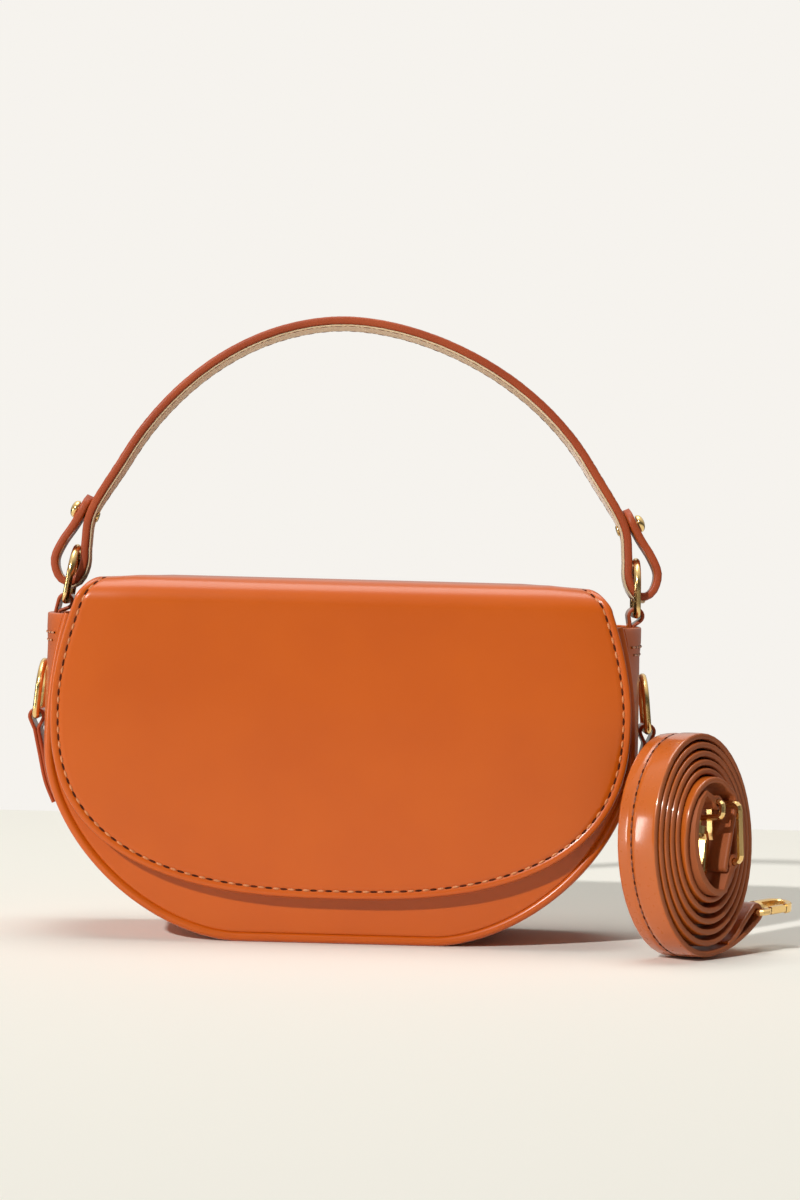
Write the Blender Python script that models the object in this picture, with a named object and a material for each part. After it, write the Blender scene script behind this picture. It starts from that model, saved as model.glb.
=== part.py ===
# Half-moon flap bag with a top handle, and its detachable shoulder strap wound in a coil beside it.
# Metres, +Z up, +X to the right, +Y to the back. The origin is on the floor, under the middle of the base.
import math

import bmesh
import bpy
from mathutils import Matrix, Vector

mm = 0.001
clearance = 0.3 * mm  # between pieces that lie against each other
cut_overrun = 4 * mm  # how far every cutter runs past what it cuts

# Body
body_half_width = 113.6 * mm  # to the outside of the piping
side_swell = 2.5 * mm  # the middle of the sides stands out from the seams by this much
side_half_width = body_half_width + side_swell
base_half_width = 38 * mm  # the flat stretch that stands on the floor
shoulder_height = 72 * mm  # where the round sides turn upright
gusset_height = 124 * mm
panel_rise = 5 * mm  # the panels stand this far above the gusset
panel_height = gusset_height + panel_rise
body_depth = 66 * mm  # between the outer faces of the two panels
body_roundness = 1.75  # power of the superellipse between base and side
top_narrowing = 7.6 * mm  # how far the panels' top corners draw in
narrowing_power = 2.4
outline_spare = 5 * mm  # the outline is drawn this far past the panels' top, then trimmed
panel_thickness = 1.8 * mm
panel_edge_fall = 0.9 * mm  # how far the panel dips into the seam
piping_radius = 1.9 * mm
piping_sink_share = 0.75  # of its radius: the piping lies this deep in the panel's face
gusset_thickness = 1.8 * mm
swell_start_height = 12 * mm
lining_thickness = 0.8 * mm
lining_drop = 2.5 * mm  # from the gusset's edge down to the lining's
lining_height = gusset_height - lining_drop
board_half_length = 36 * mm
board_half_width = 26 * mm
pocket_half_width = 58 * mm
pocket_bottom = 38 * mm
pocket_drop = 17.5 * mm  # from the lining's edge down to the pocket's
pocket_top = lining_height - pocket_drop
pocket_depth = 1.8 * mm
pocket_corner = 9 * mm
pocket_cloth = 0.7 * mm

# Flap
flap_setback = 2.6 * mm  # from the body's widest line in to the flap's edge
flap_bend_setback = 10.6 * mm  # the same where the front starts to bend over the top
flap_neck_setback = 18.6 * mm  # the same at the fold over the top
flap_root_setback = 24.6 * mm  # the same at the back hinge
flap_half_width = body_half_width - flap_setback
flap_bend_half_width = body_half_width - flap_bend_setback
flap_neck_half_width = body_half_width - flap_neck_setback
flap_root_half_width = body_half_width - flap_root_setback
flap_bottom = 18 * mm
flap_wide_rise = 18 * mm  # the flap is widest this far above the shoulders
flap_wide_height = shoulder_height + flap_wide_rise
flap_roundness = 2.6
flap_neck_power = 1.7
flap_corner_power = 1.5
flap_rise = 14.6 * mm  # from the gusset's edge to the top of the flap
flap_top_height = gusset_height + flap_rise
flap_thickness = 1.7 * mm
flap_lining_thickness = 0.7 * mm
flap_lining_setback = 1.6 * mm
flap_standoff = 7.6 * mm  # from the front panel's face to the flap's outer face
flap_front_offset = body_depth / 2 + flap_standoff
flap_front_slope = 1.2 * mm  # the flap's top lies this much further back than its bottom
flap_front_bend = 9 * mm
flap_front_hinge_inset = 3.4 * mm  # from the end of the front bend to the hinge
flap_front_hinge_offset = flap_front_offset - flap_front_slope - flap_front_bend - flap_front_hinge_inset
flap_back_hinge_inset = 7 * mm  # from the back panel's face to the hinge
flap_back_hinge_offset = body_depth / 2 - flap_back_hinge_inset
flap_back_bend = 8 * mm
flap_anchor_length = 25 * mm  # from the panel's edge down to the end of the root
flap_anchor_bottom = panel_height - flap_anchor_length
flap_anchor_corner = 8 * mm
hinge_gap = 0.6 * mm

# Magnetic snap
snap_height = 46 * mm
snap_radius = 7.5 * mm
snap_socket_thickness = 2.4 * mm
snap_well_radius = 2.6 * mm
snap_well_depth = 1.4 * mm
snap_stud_radius = 6.5 * mm
snap_stud_thickness = 1.2 * mm
snap_nib_radius = 2.1 * mm
snap_nib_length = 1.1 * mm
snap_side_share = 0.6  # of the thickness, up to the sloping rim
snap_face_share = 0.86  # of the radius, inside the rim
snap_nib_tip_share = 0.8

# D-rings, all four alike
ring_inner_radius = 9 * mm
ring_wire_radius = 1.4 * mm
ring_leg = 10.6 * mm  # from the centre of the arc down to the bar
ring_corner = 2.5 * mm

# Leather tabs that hold the rings
tab_half_width = 7 * mm
tab_leather = 1.3 * mm
tab_loop_radius = 3.4 * mm  # outside of the loop
tab_loop_drop = 5 * mm  # from a side loop's centre down to where the two plies meet
tab_root_rise = 0.4 * mm  # a handle tab's plies part this far above the gusset's edge
tab_loop_opening = math.radians(25)  # the loop runs this far below its middle on both sides
handle_tongue_length = 18 * mm
side_tongue_length = 27 * mm
side_tongue_gap = 0.45 * mm  # the gusset curves under the tongue's straight stretches
side_tongue_shares = (0.35, 0.7, 1.0)

# Handle
handle_pivot_rise = 15.3 * mm  # from the gusset's edge to the handle's tilting axis
handle_pivot_height = gusset_height + handle_pivot_rise
handle_rise = 102.2 * mm  # from the pivot to the middle of the strap at the top
handle_leg_share = 0.43  # of the rise: below it the legs run to the rings
handle_leg_inset = 9.7 * mm  # from the middle of the sides in to the handle's legs
handle_leg_place = side_half_width - handle_leg_inset
handle_span_inset = 1 * mm
handle_span = handle_leg_place - handle_span_inset  # half the width that the arch would have at the pivot
handle_roundness = 1.87
handle_skew = 6 * mm  # the crown sits left of the middle
handle_skew_power = 4
handle_lean = math.radians(4)
handle_half_width = 9 * mm
handle_end_half_width = 5.4 * mm
handle_taper_low = 14 * mm
handle_taper_high = 44 * mm
handle_leather = 3 * mm
handle_chamfer = 0.6 * mm
handle_lining_thickness = 0.5 * mm
handle_lining_gap = 0.15 * mm
handle_lining_setback = 1 * mm  # the suede ends this far inside the strap's edges
handle_shift = 4 * mm  # the handle stands a little to the right of the middle
ring_top_inset = 6 * mm
ring_top_place = side_half_width - ring_top_inset  # from the handle's middle to the tops of its rings
left_bar_inset = 6.7 * mm
left_bar_place = -side_half_width + left_bar_inset
right_bar_inset = 1.8 * mm
right_bar_place = side_half_width - right_bar_inset

# Rivets
rivet_radius = 3.5 * mm
rivet_dome = 2.8 * mm
rivet_shank_radius = 1.1 * mm
rivet_cap_radius = 2.2 * mm
rivet_cap = 0.7 * mm
rivet_share = 0.222  # of the handle's rise above the pivot
rivet_dome_shares = ((0.98, 0.35), (0.72, 0.8), (0.35, 0.97))  # of the radius and of the dome's height
rivet_cap_face_share = 0.8
rivet_cap_edge_share = 0.4

# Side rings
side_bar_drop = 40.6 * mm  # from the gusset's edge down to the rings' bars
side_bar_height = gusset_height - side_bar_drop

# Shoulder strap wound in an upright oval coil
coil_half_width = 32.2 * mm
coil_half_height = 43 * mm
coil_pitch_across = 2.8 * mm  # from turn to turn, level with the coil's middle
coil_pitch_up = 3.7 * mm  # from turn to turn, above and below the middle
coil_turns = 5 + 7 / 12
coil_steps = 24  # points in one turn
coil_standoff = 18.9 * mm  # from the body's widest line to the coil's middle
coil_place_x = body_half_width + coil_standoff
coil_place_y = -46 * mm
coil_turn = math.radians(48)  # its open face looks to the right and to the front
coil_lean = math.radians(3.7)  # and a little up
coil_floor_gap = 0.2 * mm
coil_step_out = 0.5 * mm  # each turn stands this much nearer the open face than the turn around it
coil_step_up = 0.4 * mm  # and this much higher
strap_half_width = 8.9 * mm
strap_thickness = 2.2 * mm
tail_length = 34 * mm
tail_rise = 11 * mm
tail_loop_radius = 3.8 * mm
tail_end = 22 * mm  # the folded end runs back this far over the tail
tail_fold_shares = ((0.35, 0.6), (0.7, 0), (1, 0))  # of that length and of the loop's rise above the tail

# Buckle in the middle of the coil
buckle_out = 6.2 * mm  # the buckle stands this much nearer the open face than the outermost turn
buckle_up = 3.4 * mm  # and this much above the coil's middle
buckle_half_length = 11 * mm
buckle_lead_share = 0.6  # of the first turn, over which the strap comes out to the buckle
buckle_half_width = 11.9 * mm
buckle_corner = 2.4 * mm
buckle_wire_radius = 1.3 * mm
buckle_place = 9.6 * mm  # from the coil's centre
prong_half_width = 1.2 * mm
prong_thickness = 1.4 * mm
prong_slot_low = 8.3 * mm  # the slot's ends, below and above the buckle's middle
prong_slot_high = 3.5 * mm
short_strap_leather = 1.2 * mm
short_strap_gap = 0.45 * mm
short_first_share = 5 / 8  # of the strap's first turn, where the short strap meets the wall
short_last_share = 1 / 8  # and where it leaves it
short_eye_right = 0.5 * mm
short_eye_up = 15.2 * mm
inner_hook_heading = math.radians(98.5)  # about the strap's width
outer_hook_droop = math.radians(-2)
outer_hook_swing = math.radians(-2)
outer_hook_roll = math.radians(9)

# Snap hooks
hook_wire = 1.2 * mm
eye_half_width = 11 * mm
eye_neck = 3 * mm
barrel_radius = 3.3 * mm
barrel_bore = 1.5 * mm
barrel_half_length = 1.5 * mm
post_radius = 1.15 * mm
post_head_radius = 2.3 * mm
post_head = 1.3 * mm
hook_reach = 14 * mm
hook_bow = 4.4 * mm
hook_bar = 2.4 * mm
hook_thickness = 3.8 * mm
gate_bar = 2.2 * mm
gate_pivot_reach = 3.2 * mm
eye_straight_share = 0.62  # of the eye's length: its sides are parallel up to here
eye_mouth_share = 0.8  # of its neck
eye_corner_share = 0.6  # of its neck
post_foot_share = 1.3  # of the post's radius
post_rim_share = 0.6  # of its head, both ways
hook_seat_share = 0.15  # of the barrel's radius: bar and lug start this deep in the barrel
bar_chamfer_share = 0.35  # of the bar's half thickness
lug_width_share = 0.3  # of the hook's thickness
gate_width_share = 0.4  # of the hook's thickness
gate_tail_share = 0.4  # of the gate's thickness, behind its axis
gate_chamfer_share = 0.2  # of the gate's thickness

for item in list(bpy.data.objects):
    bpy.data.objects.remove(item, do_unlink=True)


def finish(name, colour, roughness, metallic=0.0):
    surface = bpy.data.materials.new(name)
    surface.use_nodes = True
    shader = surface.node_tree.nodes["Principled BSDF"]
    shader.inputs["Base Color"].default_value = (*colour, 1.0)
    shader.inputs["Roughness"].default_value = roughness
    shader.inputs["Metallic"].default_value = metallic
    surface.diffuse_color = (*colour, 1.0)
    return surface


leather = ("leather", (0.64, 0.145, 0.027), 0.34)
edge_leather = ("edge_leather", (0.47, 0.085, 0.028), 0.42)
suede = ("suede", (0.78, 0.66, 0.50), 0.85)
cloth = ("cloth", (0.60, 0.45, 0.30), 0.90)
board = ("board", (0.20, 0.14, 0.09), 0.90)
gold = ("gold", (0.83, 0.62, 0.28), 0.22, 1.0)


def add(name, mesh_data, look, origin=(0, 0, 0), parent=None):
    # A closed mesh becomes one named object whose origin is where its piece turns.
    bmesh.ops.recalc_face_normals(mesh_data, faces=mesh_data.faces[:])
    bmesh.ops.translate(mesh_data, verts=mesh_data.verts[:], vec=-Vector(origin))
    mesh = bpy.data.meshes.new(name)
    mesh_data.to_mesh(mesh)
    mesh_data.free()
    mesh.shade_smooth()
    mesh.set_sharp_from_angle(angle=math.radians(35))
    piece = bpy.data.objects.new(name, mesh)
    bpy.context.collection.objects.link(piece)
    piece.data.materials.append(finish(name + "_" + look[0], *look[1:]))
    piece.location = origin
    if parent:
        piece.parent = parent
    return piece


def add_empty(name, location, rotation=(0, 0, 0), parent=None):
    holder = bpy.data.objects.new(name, None)
    bpy.context.collection.objects.link(holder)
    holder.location = location
    holder.rotation_euler = rotation
    holder.parent = parent
    return holder


def skin(rings, closed=False):
    # Joins rings of points into one closed body, with flat ends unless the rings close on themselves.
    body = bmesh.new()
    rows = [[body.verts.new(point) for point in ring] for ring in rings]
    pairs = list(zip(rows, rows[1:]))
    if closed:
        pairs.append((rows[-1], rows[0]))
    for first, second in pairs:
        for i in range(len(first)):
            j = (i + 1) % len(first)
            body.faces.new((first[i], first[j], second[j], second[i]))
    if not closed:
        body.faces.new(rows[0][::-1])
        body.faces.new(rows[-1])
    return body


def tangents(path, closed=False):
    found = []
    for i, point in enumerate(path):
        before = path[i - 1] if i or closed else point
        after = path[(i + 1) % len(path)] if i + 1 < len(path) or closed else point
        found.append((after - before).normalized())
    return found


def sweep(path, across, section, closed=False):
    # section(i) gives points as (along the width, along the normal) at the path's point i.
    rings = []
    for i, (point, along) in enumerate(zip(path, tangents(path, closed))):
        normal = along.cross(across).normalized()
        rings.append([point + across * w + normal * h for w, h in section(i)])
    return skin(rings, closed)


def round_section(radius, sides=8):
    ring = []
    for i in range(sides):
        angle = 2 * math.pi * (i + 0.5) / sides
        ring.append((radius * math.cos(angle), radius * math.sin(angle)))
    return ring


def flat_section(half_width, low, high, chamfer=0.0):
    if not chamfer:
        return [(-half_width, low), (half_width, low), (half_width, high), (-half_width, high)]
    inner = half_width - chamfer
    return [(-inner, low), (inner, low), (half_width, low + chamfer), (half_width, high - chamfer),
            (inner, high), (-inner, high), (-half_width, high - chamfer), (-half_width, low + chamfer)]


def turned(profile, sides=16):
    # A solid of revolution about Z through (radius, height) points that start and end on the axis.
    body = bmesh.new()
    rows = []
    for radius, height in profile:
        if radius == 0:
            rows.append([body.verts.new((0, 0, height))])
            continue
        ring = []
        for i in range(sides):
            angle = 2 * math.pi * i / sides
            ring.append(body.verts.new((radius * math.cos(angle), radius * math.sin(angle), height)))
        rows.append(ring)
    for low, high in zip(rows, rows[1:]):
        for i in range(sides):
            j = (i + 1) % sides
            corners = [low[i % len(low)], low[j % len(low)], high[j % len(high)], high[i % len(high)]]
            unique = list(dict.fromkeys(corners))
            body.faces.new(unique)
    return body


def turned_ring(profile, sides=16):
    # A ring turned about Z, from a closed outline of (radius, height) points.
    rings = []
    for i in range(sides):
        angle = 2 * math.pi * i / sides
        rings.append([Vector((r * math.cos(angle), r * math.sin(angle), h)) for r, h in profile])
    return skin(rings, closed=True)


def moved(body, matrix):
    bmesh.ops.transform(body, matrix=matrix, verts=body.verts[:])
    return body


def smooth_path(points, steps):
    # A curve through hand-chosen points (Catmull-Rom), with the same number of steps in each stretch.
    ends = [2 * points[0] - points[1], *points, 2 * points[-1] - points[-2]]
    path = []
    for i in range(1, len(ends) - 2):
        a, b, c, d = ends[i - 1:i + 3]
        for k in range(steps):
            t = k / steps
            path.append(0.5 * (2 * b + (c - a) * t + (2 * a - 5 * b + 4 * c - d) * t * t
                               + (3 * b - a - 3 * c + d) * t * t * t))
    path.append(points[-1].copy())
    return path


def boolean(piece, cutter_mesh, operation, name):
    # Cuts or joins with a guide object that the finished part leaves out.
    bmesh.ops.recalc_face_normals(cutter_mesh, faces=cutter_mesh.faces[:])
    mesh = bpy.data.meshes.new(name)
    cutter_mesh.to_mesh(mesh)
    cutter_mesh.free()
    cutter = bpy.data.objects.new(name, mesh)
    bpy.context.collection.objects.link(cutter)
    cutter.parent = piece.parent
    cutter.hide_render = True
    cutter.display_type = "WIRE"
    step = piece.modifiers.new(name, "BOOLEAN")
    step.operation = operation
    step.object = cutter
    step.solver = "EXACT"
    return cutter


def box(low, high):
    body = bmesh.new()
    bmesh.ops.create_cube(body, size=1)
    size = Vector(high) - Vector(low)
    bmesh.ops.scale(body, vec=size, verts=body.verts[:])
    bmesh.ops.translate(body, vec=(Vector(low) + Vector(high)) / 2, verts=body.verts[:])
    return body


def outline_half_width(height):
    # Half the panels' width above the shoulders, to the outside of the piping.
    share = max(0.0, height - shoulder_height) / (panel_height - shoulder_height)
    return body_half_width - top_narrowing * share ** narrowing_power


def body_curve(inset, top):
    # The half-moon from the left top, round the base, to the right top, moved inward by inset.
    round_steps, upper_steps = 13, 7
    reach = body_half_width - base_half_width
    drawn = [Vector((-base_half_width, 0, 0)), Vector((base_half_width, 0, 0))]
    for i in range(1, round_steps + 1):
        angle = math.pi / 2 * i / round_steps
        across = math.sin(angle) ** (2 / body_roundness)
        down = math.cos(angle) ** (2 / body_roundness) if i < round_steps else 0.0
        drawn.append(Vector((base_half_width + reach * across, 0, shoulder_height * (1 - down))))
    for i in range(1, upper_steps + 1):
        height = shoulder_height + (panel_height + outline_spare - shoulder_height) * i / upper_steps
        drawn.append(Vector((outline_half_width(height), 0, height)))
    side = []
    for point, along in list(zip(drawn, tangents(drawn)))[1:]:
        inner = point + Vector((-along.z, 0, along.x)) * inset
        if inner.z >= top:
            last = side[-1]
            side.append(last.lerp(inner, (top - last.z) / (inner.z - last.z)))
            break
        side.append(inner)
    left = [Vector((-point.x, 0, point.z)) for point in reversed(side)]
    return left + side


def flap_curve(height):
    # Half the flap's width at a height on its front.
    if height < flap_wide_height:
        down = (flap_wide_height - height) / (flap_wide_height - flap_bottom)
        return flap_half_width * max(0.0, 1 - down ** flap_roundness) ** (1 / flap_roundness)
    bend_height = flap_top_height - flap_front_bend
    up = min(1.0, (height - flap_wide_height) / (bend_height - flap_wide_height))
    half_width = flap_half_width - (flap_half_width - flap_bend_half_width) * up ** flap_neck_power
    round_share = max(0.0, height - bend_height) / flap_front_bend
    corner = max(0.0, 1 - round_share ** flap_corner_power) ** (1 / flap_corner_power)
    return half_width - (flap_bend_half_width - flap_neck_half_width) * (1 - corner)


def at_depth(outline, depth):
    return [Vector((point.x, depth, point.z)) for point in outline]


def make_panel(name, side, look):
    # side is -1 for the front and 1 for the back.
    inset = 2 * piping_radius + clearance
    outer = side * body_depth / 2
    inner = side * (body_depth / 2 - panel_thickness)
    rim = body_curve(inset, panel_height)
    face = body_curve(inset + panel_edge_fall, panel_height - panel_edge_fall)
    rings = [at_depth(rim, inner), at_depth(rim, outer - side * panel_edge_fall), at_depth(face, outer)]
    add(name, skin(rings), look)


def make_piping(name, side):
    path = at_depth(body_curve(piping_radius, gusset_height), side * piping_depth)
    ring = round_section(piping_radius / math.cos(math.pi / 8))
    add(name, sweep(path, Vector((0, 1, 0)), lambda i: ring), leather)


def swell_at(point):
    # How far the middle of the gusset stands out from the seams at a point of the outline.
    if point.z >= shoulder_height:
        return side_half_width - outline_half_width(point.z)
    share = (point.z - swell_start_height) / (shoulder_height - swell_start_height)
    share = min(1.0, max(0.0, share))
    return (side_half_width - body_half_width) * share * share * (3 - 2 * share)


def swelled(outline, inset, half_depth):
    # The outline as rows from front to back, level with the gusset's swell; inset moves all inward.
    rows = []
    directions = tangents(outline)
    for place_share, swell_share in swell_shares:
        row = []
        for point, along in zip(outline, directions):
            inward = Vector((-along.z, 0, along.x))
            outward = -inward if point.z < shoulder_height else Vector((math.copysign(1, point.x), 0, 0))
            place = point + outward * swell_at(point) * swell_share + inward * inset
            row.append(Vector((place.x, half_depth * place_share, min(place.z, outline[0].z))))
        rows.append(row)
    return rows


def make_gusset():
    outline = body_curve(0, gusset_height)
    outer = swelled(outline, 0, gusset_half_depth)
    inner = swelled(outline, gusset_thickness, gusset_half_depth)
    rings = []
    for i in range(len(outline)):
        rings.append([row[i] for row in outer] + [row[i] for row in reversed(inner)])
    for ring in (rings[0], rings[-1]):
        for point in ring:
            point.z = gusset_height
    add("gusset", skin(rings), leather)


def make_lining():
    outline = body_curve(0, lining_height)
    outer = swelled(outline, lining_inset, lining_half_depth)
    inner = swelled(outline, lining_inset + lining_thickness, lining_half_depth - lining_thickness)
    body = bmesh.new()
    sheets = []
    for rows in (outer, inner):
        sheet = []
        for row in rows:
            for end in (row[0], row[-1]):
                end.z = lining_height
            sheet.append([body.verts.new(point) for point in row])
        sheets.append(sheet)
    for sheet in sheets:
        for row in (sheet[0], sheet[-1]):
            body.faces.new(row)
        for first, second in zip(sheet, sheet[1:]):
            for i in range(len(first) - 1):
                body.faces.new((first[i], first[i + 1], second[i + 1], second[i]))
    outside, inside = sheets
    for k in (0, -1):
        for i in range(len(outside) - 1):
            body.faces.new((outside[i][k], outside[i + 1][k], inside[i + 1][k], inside[i][k]))
        body.faces.new((outside[k][0], outside[k][-1], inside[k][-1], inside[k][0]))
    add("lining", body, cloth)


def make_pocket():
    # A slip pocket on the back of the lining: a shallow tray, sewn on at the sides and the bottom.
    back = lining_half_depth - lining_thickness - clearance
    front = back - pocket_depth

    def tray(inset):
        outline = [Vector((-pocket_half_width + inset, 0, pocket_top))]
        for sign in (-1, 1):
            centre = Vector((sign * (pocket_half_width - pocket_corner), 0, pocket_bottom + pocket_corner))
            for i in range(5):
                angle = math.pi * (1 if sign < 0 else 1.5) + math.pi / 2 * i / 4
                arm = Vector((math.cos(angle), 0, math.sin(angle))) * (pocket_corner - inset)
                outline.append(centre + arm)
        outline.append(Vector((pocket_half_width - inset, 0, pocket_top)))
        return outline

    outer, inner = tray(0), tray(pocket_cloth)
    body = bmesh.new()
    rows = [[body.verts.new(point) for point in at_depth(line, depth)]
            for line, depth in ((outer, back), (outer, front), (inner, front + pocket_cloth), (inner, back))]
    body.faces.new(rows[1])
    body.faces.new(rows[2])
    for first, second in ((rows[0], rows[1]), (rows[2], rows[3]), (rows[3], rows[0])):
        for i in range(len(first) - 1):
            body.faces.new((first[i], first[i + 1], second[i + 1], second[i]))
    body.faces.new((rows[1][0], rows[1][-1], rows[2][-1], rows[2][0]))
    body.faces.new((rows[0][0], rows[1][0], rows[2][0], rows[3][0]))
    body.faces.new((rows[0][-1], rows[1][-1], rows[2][-1], rows[3][-1]))
    add("slip_pocket", body, cloth)


def draped(profile, half_width_at, low, high):
    # A sheet over a (depth, height) profile; low and high are its faces, measured along the normal.
    path = [Vector((0, depth, height)) for depth, height in profile]
    return sweep(path, Vector((1, 0, 0)), lambda i: flat_section(half_width_at(i), low, high))


def flap_front_profile():
    # From the flap's lowest point up the front, round the bend and back to the hinge, on its outer face.
    rows = []
    bend_height = flap_top_height - flap_front_bend
    top_depth = -(flap_front_offset - flap_front_slope)

    def front_depth(height):
        share = (height - flap_bottom) / (bend_height - flap_bottom)
        return -flap_front_offset + flap_front_slope * share

    steps = 10
    for i in range(1, steps + 1):
        angle = math.pi / 2 * (i - 0.25) / (steps - 0.25)
        down = math.cos(angle) ** (2 / flap_roundness) if i < steps else 0.0
        height = flap_wide_height - (flap_wide_height - flap_bottom) * down
        rows.append((front_depth(height), height))
    for share in (0.4, 0.75):
        height = flap_wide_height + (bend_height - flap_wide_height) * share
        rows.append((front_depth(height), height))
    for i in range(7):
        angle = math.pi / 2 * i / 6
        rows.append((top_depth + flap_front_bend * (1 - math.cos(angle)),
                     bend_height + flap_front_bend * math.sin(angle)))
    rows.append((-flap_front_hinge_offset, flap_top_height))
    return rows


def make_flap():
    front = flap_front_profile()
    hinge = Vector((0, -flap_front_hinge_offset, flap_top_height))
    faces = (clearance, clearance + flap_lining_thickness)

    def width(row, setback=0.0):
        depth, height = row
        return flap_curve(height) - setback if height < flap_top_height else flap_neck_half_width - setback

    add("flap_front", draped(front, lambda i: width(front[i]), 0, flap_thickness), leather, hinge)
    inner = [row for row in front if row[1] > flap_bottom + flap_lining_setback]
    inner_low = flap_thickness + faces[0]
    inner_high = flap_thickness + faces[1]
    add("flap_front_lining",
        draped(inner, lambda i: width(inner[i], flap_lining_setback), inner_low, inner_high), cloth, hinge)

    back_hinge = Vector((0, flap_back_hinge_offset, flap_top_height))
    span = flap_front_hinge_offset + flap_back_hinge_offset
    top = [(-flap_front_hinge_offset + hinge_gap, flap_top_height),
           (flap_back_hinge_offset - hinge_gap, flap_top_height)]

    def top_width(row, setback=0.0):
        share = (row[0] + flap_front_hinge_offset) / span
        return flap_neck_half_width + (flap_root_half_width - flap_neck_half_width) * share - setback

    add("flap_top", draped(top, lambda i: top_width(top[i]), 0, flap_thickness), leather, back_hinge)
    add("flap_top_lining",
        draped(top, lambda i: top_width(top[i], flap_lining_setback), inner_low, inner_high), cloth, back_hinge)

    # The root of the flap bends down over the back panel, to which it is sewn.
    anchor_face = body_depth / 2 + clearance + flap_thickness
    bend_centre = (anchor_face - flap_back_bend, flap_top_height - flap_back_bend)
    root = [(flap_back_hinge_offset, flap_top_height)] if bend_centre[0] > flap_back_hinge_offset else []
    for i in range(7):
        angle = math.pi / 2 * i / 6
        root.append((bend_centre[0] + flap_back_bend * math.sin(angle),
                     bend_centre[1] + flap_back_bend * math.cos(angle)))
    root.append((anchor_face, flap_anchor_bottom + flap_anchor_corner))
    for i in range(1, 4):
        angle = math.pi / 2 * i / 3
        root.append((anchor_face, flap_anchor_bottom + flap_anchor_corner * (1 - math.sin(angle))))

    def root_width(row):
        short = max(0.0, flap_anchor_bottom + flap_anchor_corner - row[1])
        return flap_root_half_width - flap_anchor_corner + math.sqrt(max(0.0, flap_anchor_corner ** 2 - short ** 2))

    add("flap_root", draped(root, lambda i: root_width(root[i]), 0, flap_thickness), leather)


def make_snap():
    # The socket sits on the front panel and the stud on the flap's lining; both face along Y.
    toward_front = Matrix.Rotation(math.pi / 2, 4, "X")
    face = -body_depth / 2 - clearance
    socket = turned([(0, 0), (snap_radius, 0), (snap_radius, snap_socket_thickness * snap_side_share),
                     (snap_radius * snap_face_share, snap_socket_thickness), (snap_well_radius, snap_socket_thickness),
                     (snap_well_radius, snap_socket_thickness - snap_well_depth),
                     (0, snap_socket_thickness - snap_well_depth)], 20)
    add("snap_socket", moved(socket, Matrix.Translation((0, face, snap_height)) @ toward_front), gold)
    slope = flap_front_slope * (snap_height - flap_bottom) / (flap_top_height - flap_front_bend - flap_bottom)
    flap_inside = -flap_front_offset + slope + flap_thickness + flap_lining_thickness + 2 * clearance
    stud = turned([(0, 0), (snap_stud_radius, 0), (snap_stud_radius, snap_stud_thickness * snap_side_share),
                   (snap_stud_radius * snap_face_share, snap_stud_thickness), (snap_nib_radius, snap_stud_thickness),
                   (snap_nib_radius * snap_nib_tip_share, snap_stud_thickness + snap_nib_length),
                   (0, snap_stud_thickness + snap_nib_length)], 20)
    toward_back = Matrix.Rotation(-math.pi / 2, 4, "X")
    add("snap_stud", moved(stud, Matrix.Translation((0, flap_inside, snap_height)) @ toward_back), gold,
        (0, -flap_front_hinge_offset, flap_top_height))


def ring_outline():
    # The D in its own plane: width along the first axis, height above the bar along the second.
    radius = ring_inner_radius + ring_wire_radius
    steps = 14
    points = []
    for i in range(steps + 1):
        angle = math.pi * i / steps
        points.append((radius * math.cos(angle), ring_leg + radius * math.sin(angle)))
    for sign in (-1, 1):
        corner = (sign * (radius - ring_corner), ring_corner)
        for i in range(4):
            angle = math.pi * (1 if sign < 0 else 1.5) + math.pi / 2 * i / 3
            points.append((corner[0] + ring_corner * math.cos(angle), corner[1] + ring_corner * math.sin(angle)))
    return points


def make_ring(name, bar, lean):
    # The bar lies along Y; the arc leans from upright towards -X by lean.
    upright = Vector((-math.sin(lean), 0, math.cos(lean)))
    across = upright.cross(Vector((0, 1, 0))).normalized()
    path = [bar + Vector((0, w, 0)) + upright * h for w, h in ring_outline()]
    ring = round_section(ring_wire_radius)
    return add(name, sweep(path, across, lambda i: ring, closed=True), gold, bar)


def make_tab(name, loop_centre, tongue):
    # A loop of one ply stands on a tongue of two plies that is sewn to the gusset.
    up = (loop_centre - tongue[0]).normalized()
    right = Vector((up.z, 0, -up.x))
    outer, inner = [], []
    steps = 12
    for i in range(steps + 1):
        angle = math.pi + tab_loop_opening - (math.pi + 2 * tab_loop_opening) * i / steps
        arm = right * math.cos(angle) + up * math.sin(angle)
        outer.append(loop_centre + arm * tab_loop_radius)
        inner.append(loop_centre + arm * (tab_loop_radius - tab_leather))
    left_side, right_side = [], []
    for point, along in zip(tongue, tangents(tongue)):
        toward_right = Vector((-along.z, 0, along.x)) * tab_leather
        left_side.append(point - toward_right)
        right_side.append(point + toward_right)
    outline = left_side[::-1] + outer + right_side
    hollow = [tongue[0] + up * tab_leather] + inner
    body = bmesh.new()
    sides = []
    for depth in (-tab_half_width, tab_half_width):
        sides.append([[body.verts.new((p.x, depth, p.z)) for p in line] for line in (outline, hollow)])
    for front, back in zip(*sides):
        for i in range(len(front)):
            j = (i + 1) % len(front)
            body.faces.new((front[i], front[j], back[j], back[i]))
    for rows in sides:
        edges = []
        for row in rows:
            edges += [body.edges.get((row[i], row[(i + 1) % len(row)])) for i in range(len(row))]
        bmesh.ops.triangle_fill(body, use_beauty=True, edges=edges)
    return add(name, body, leather)


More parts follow.
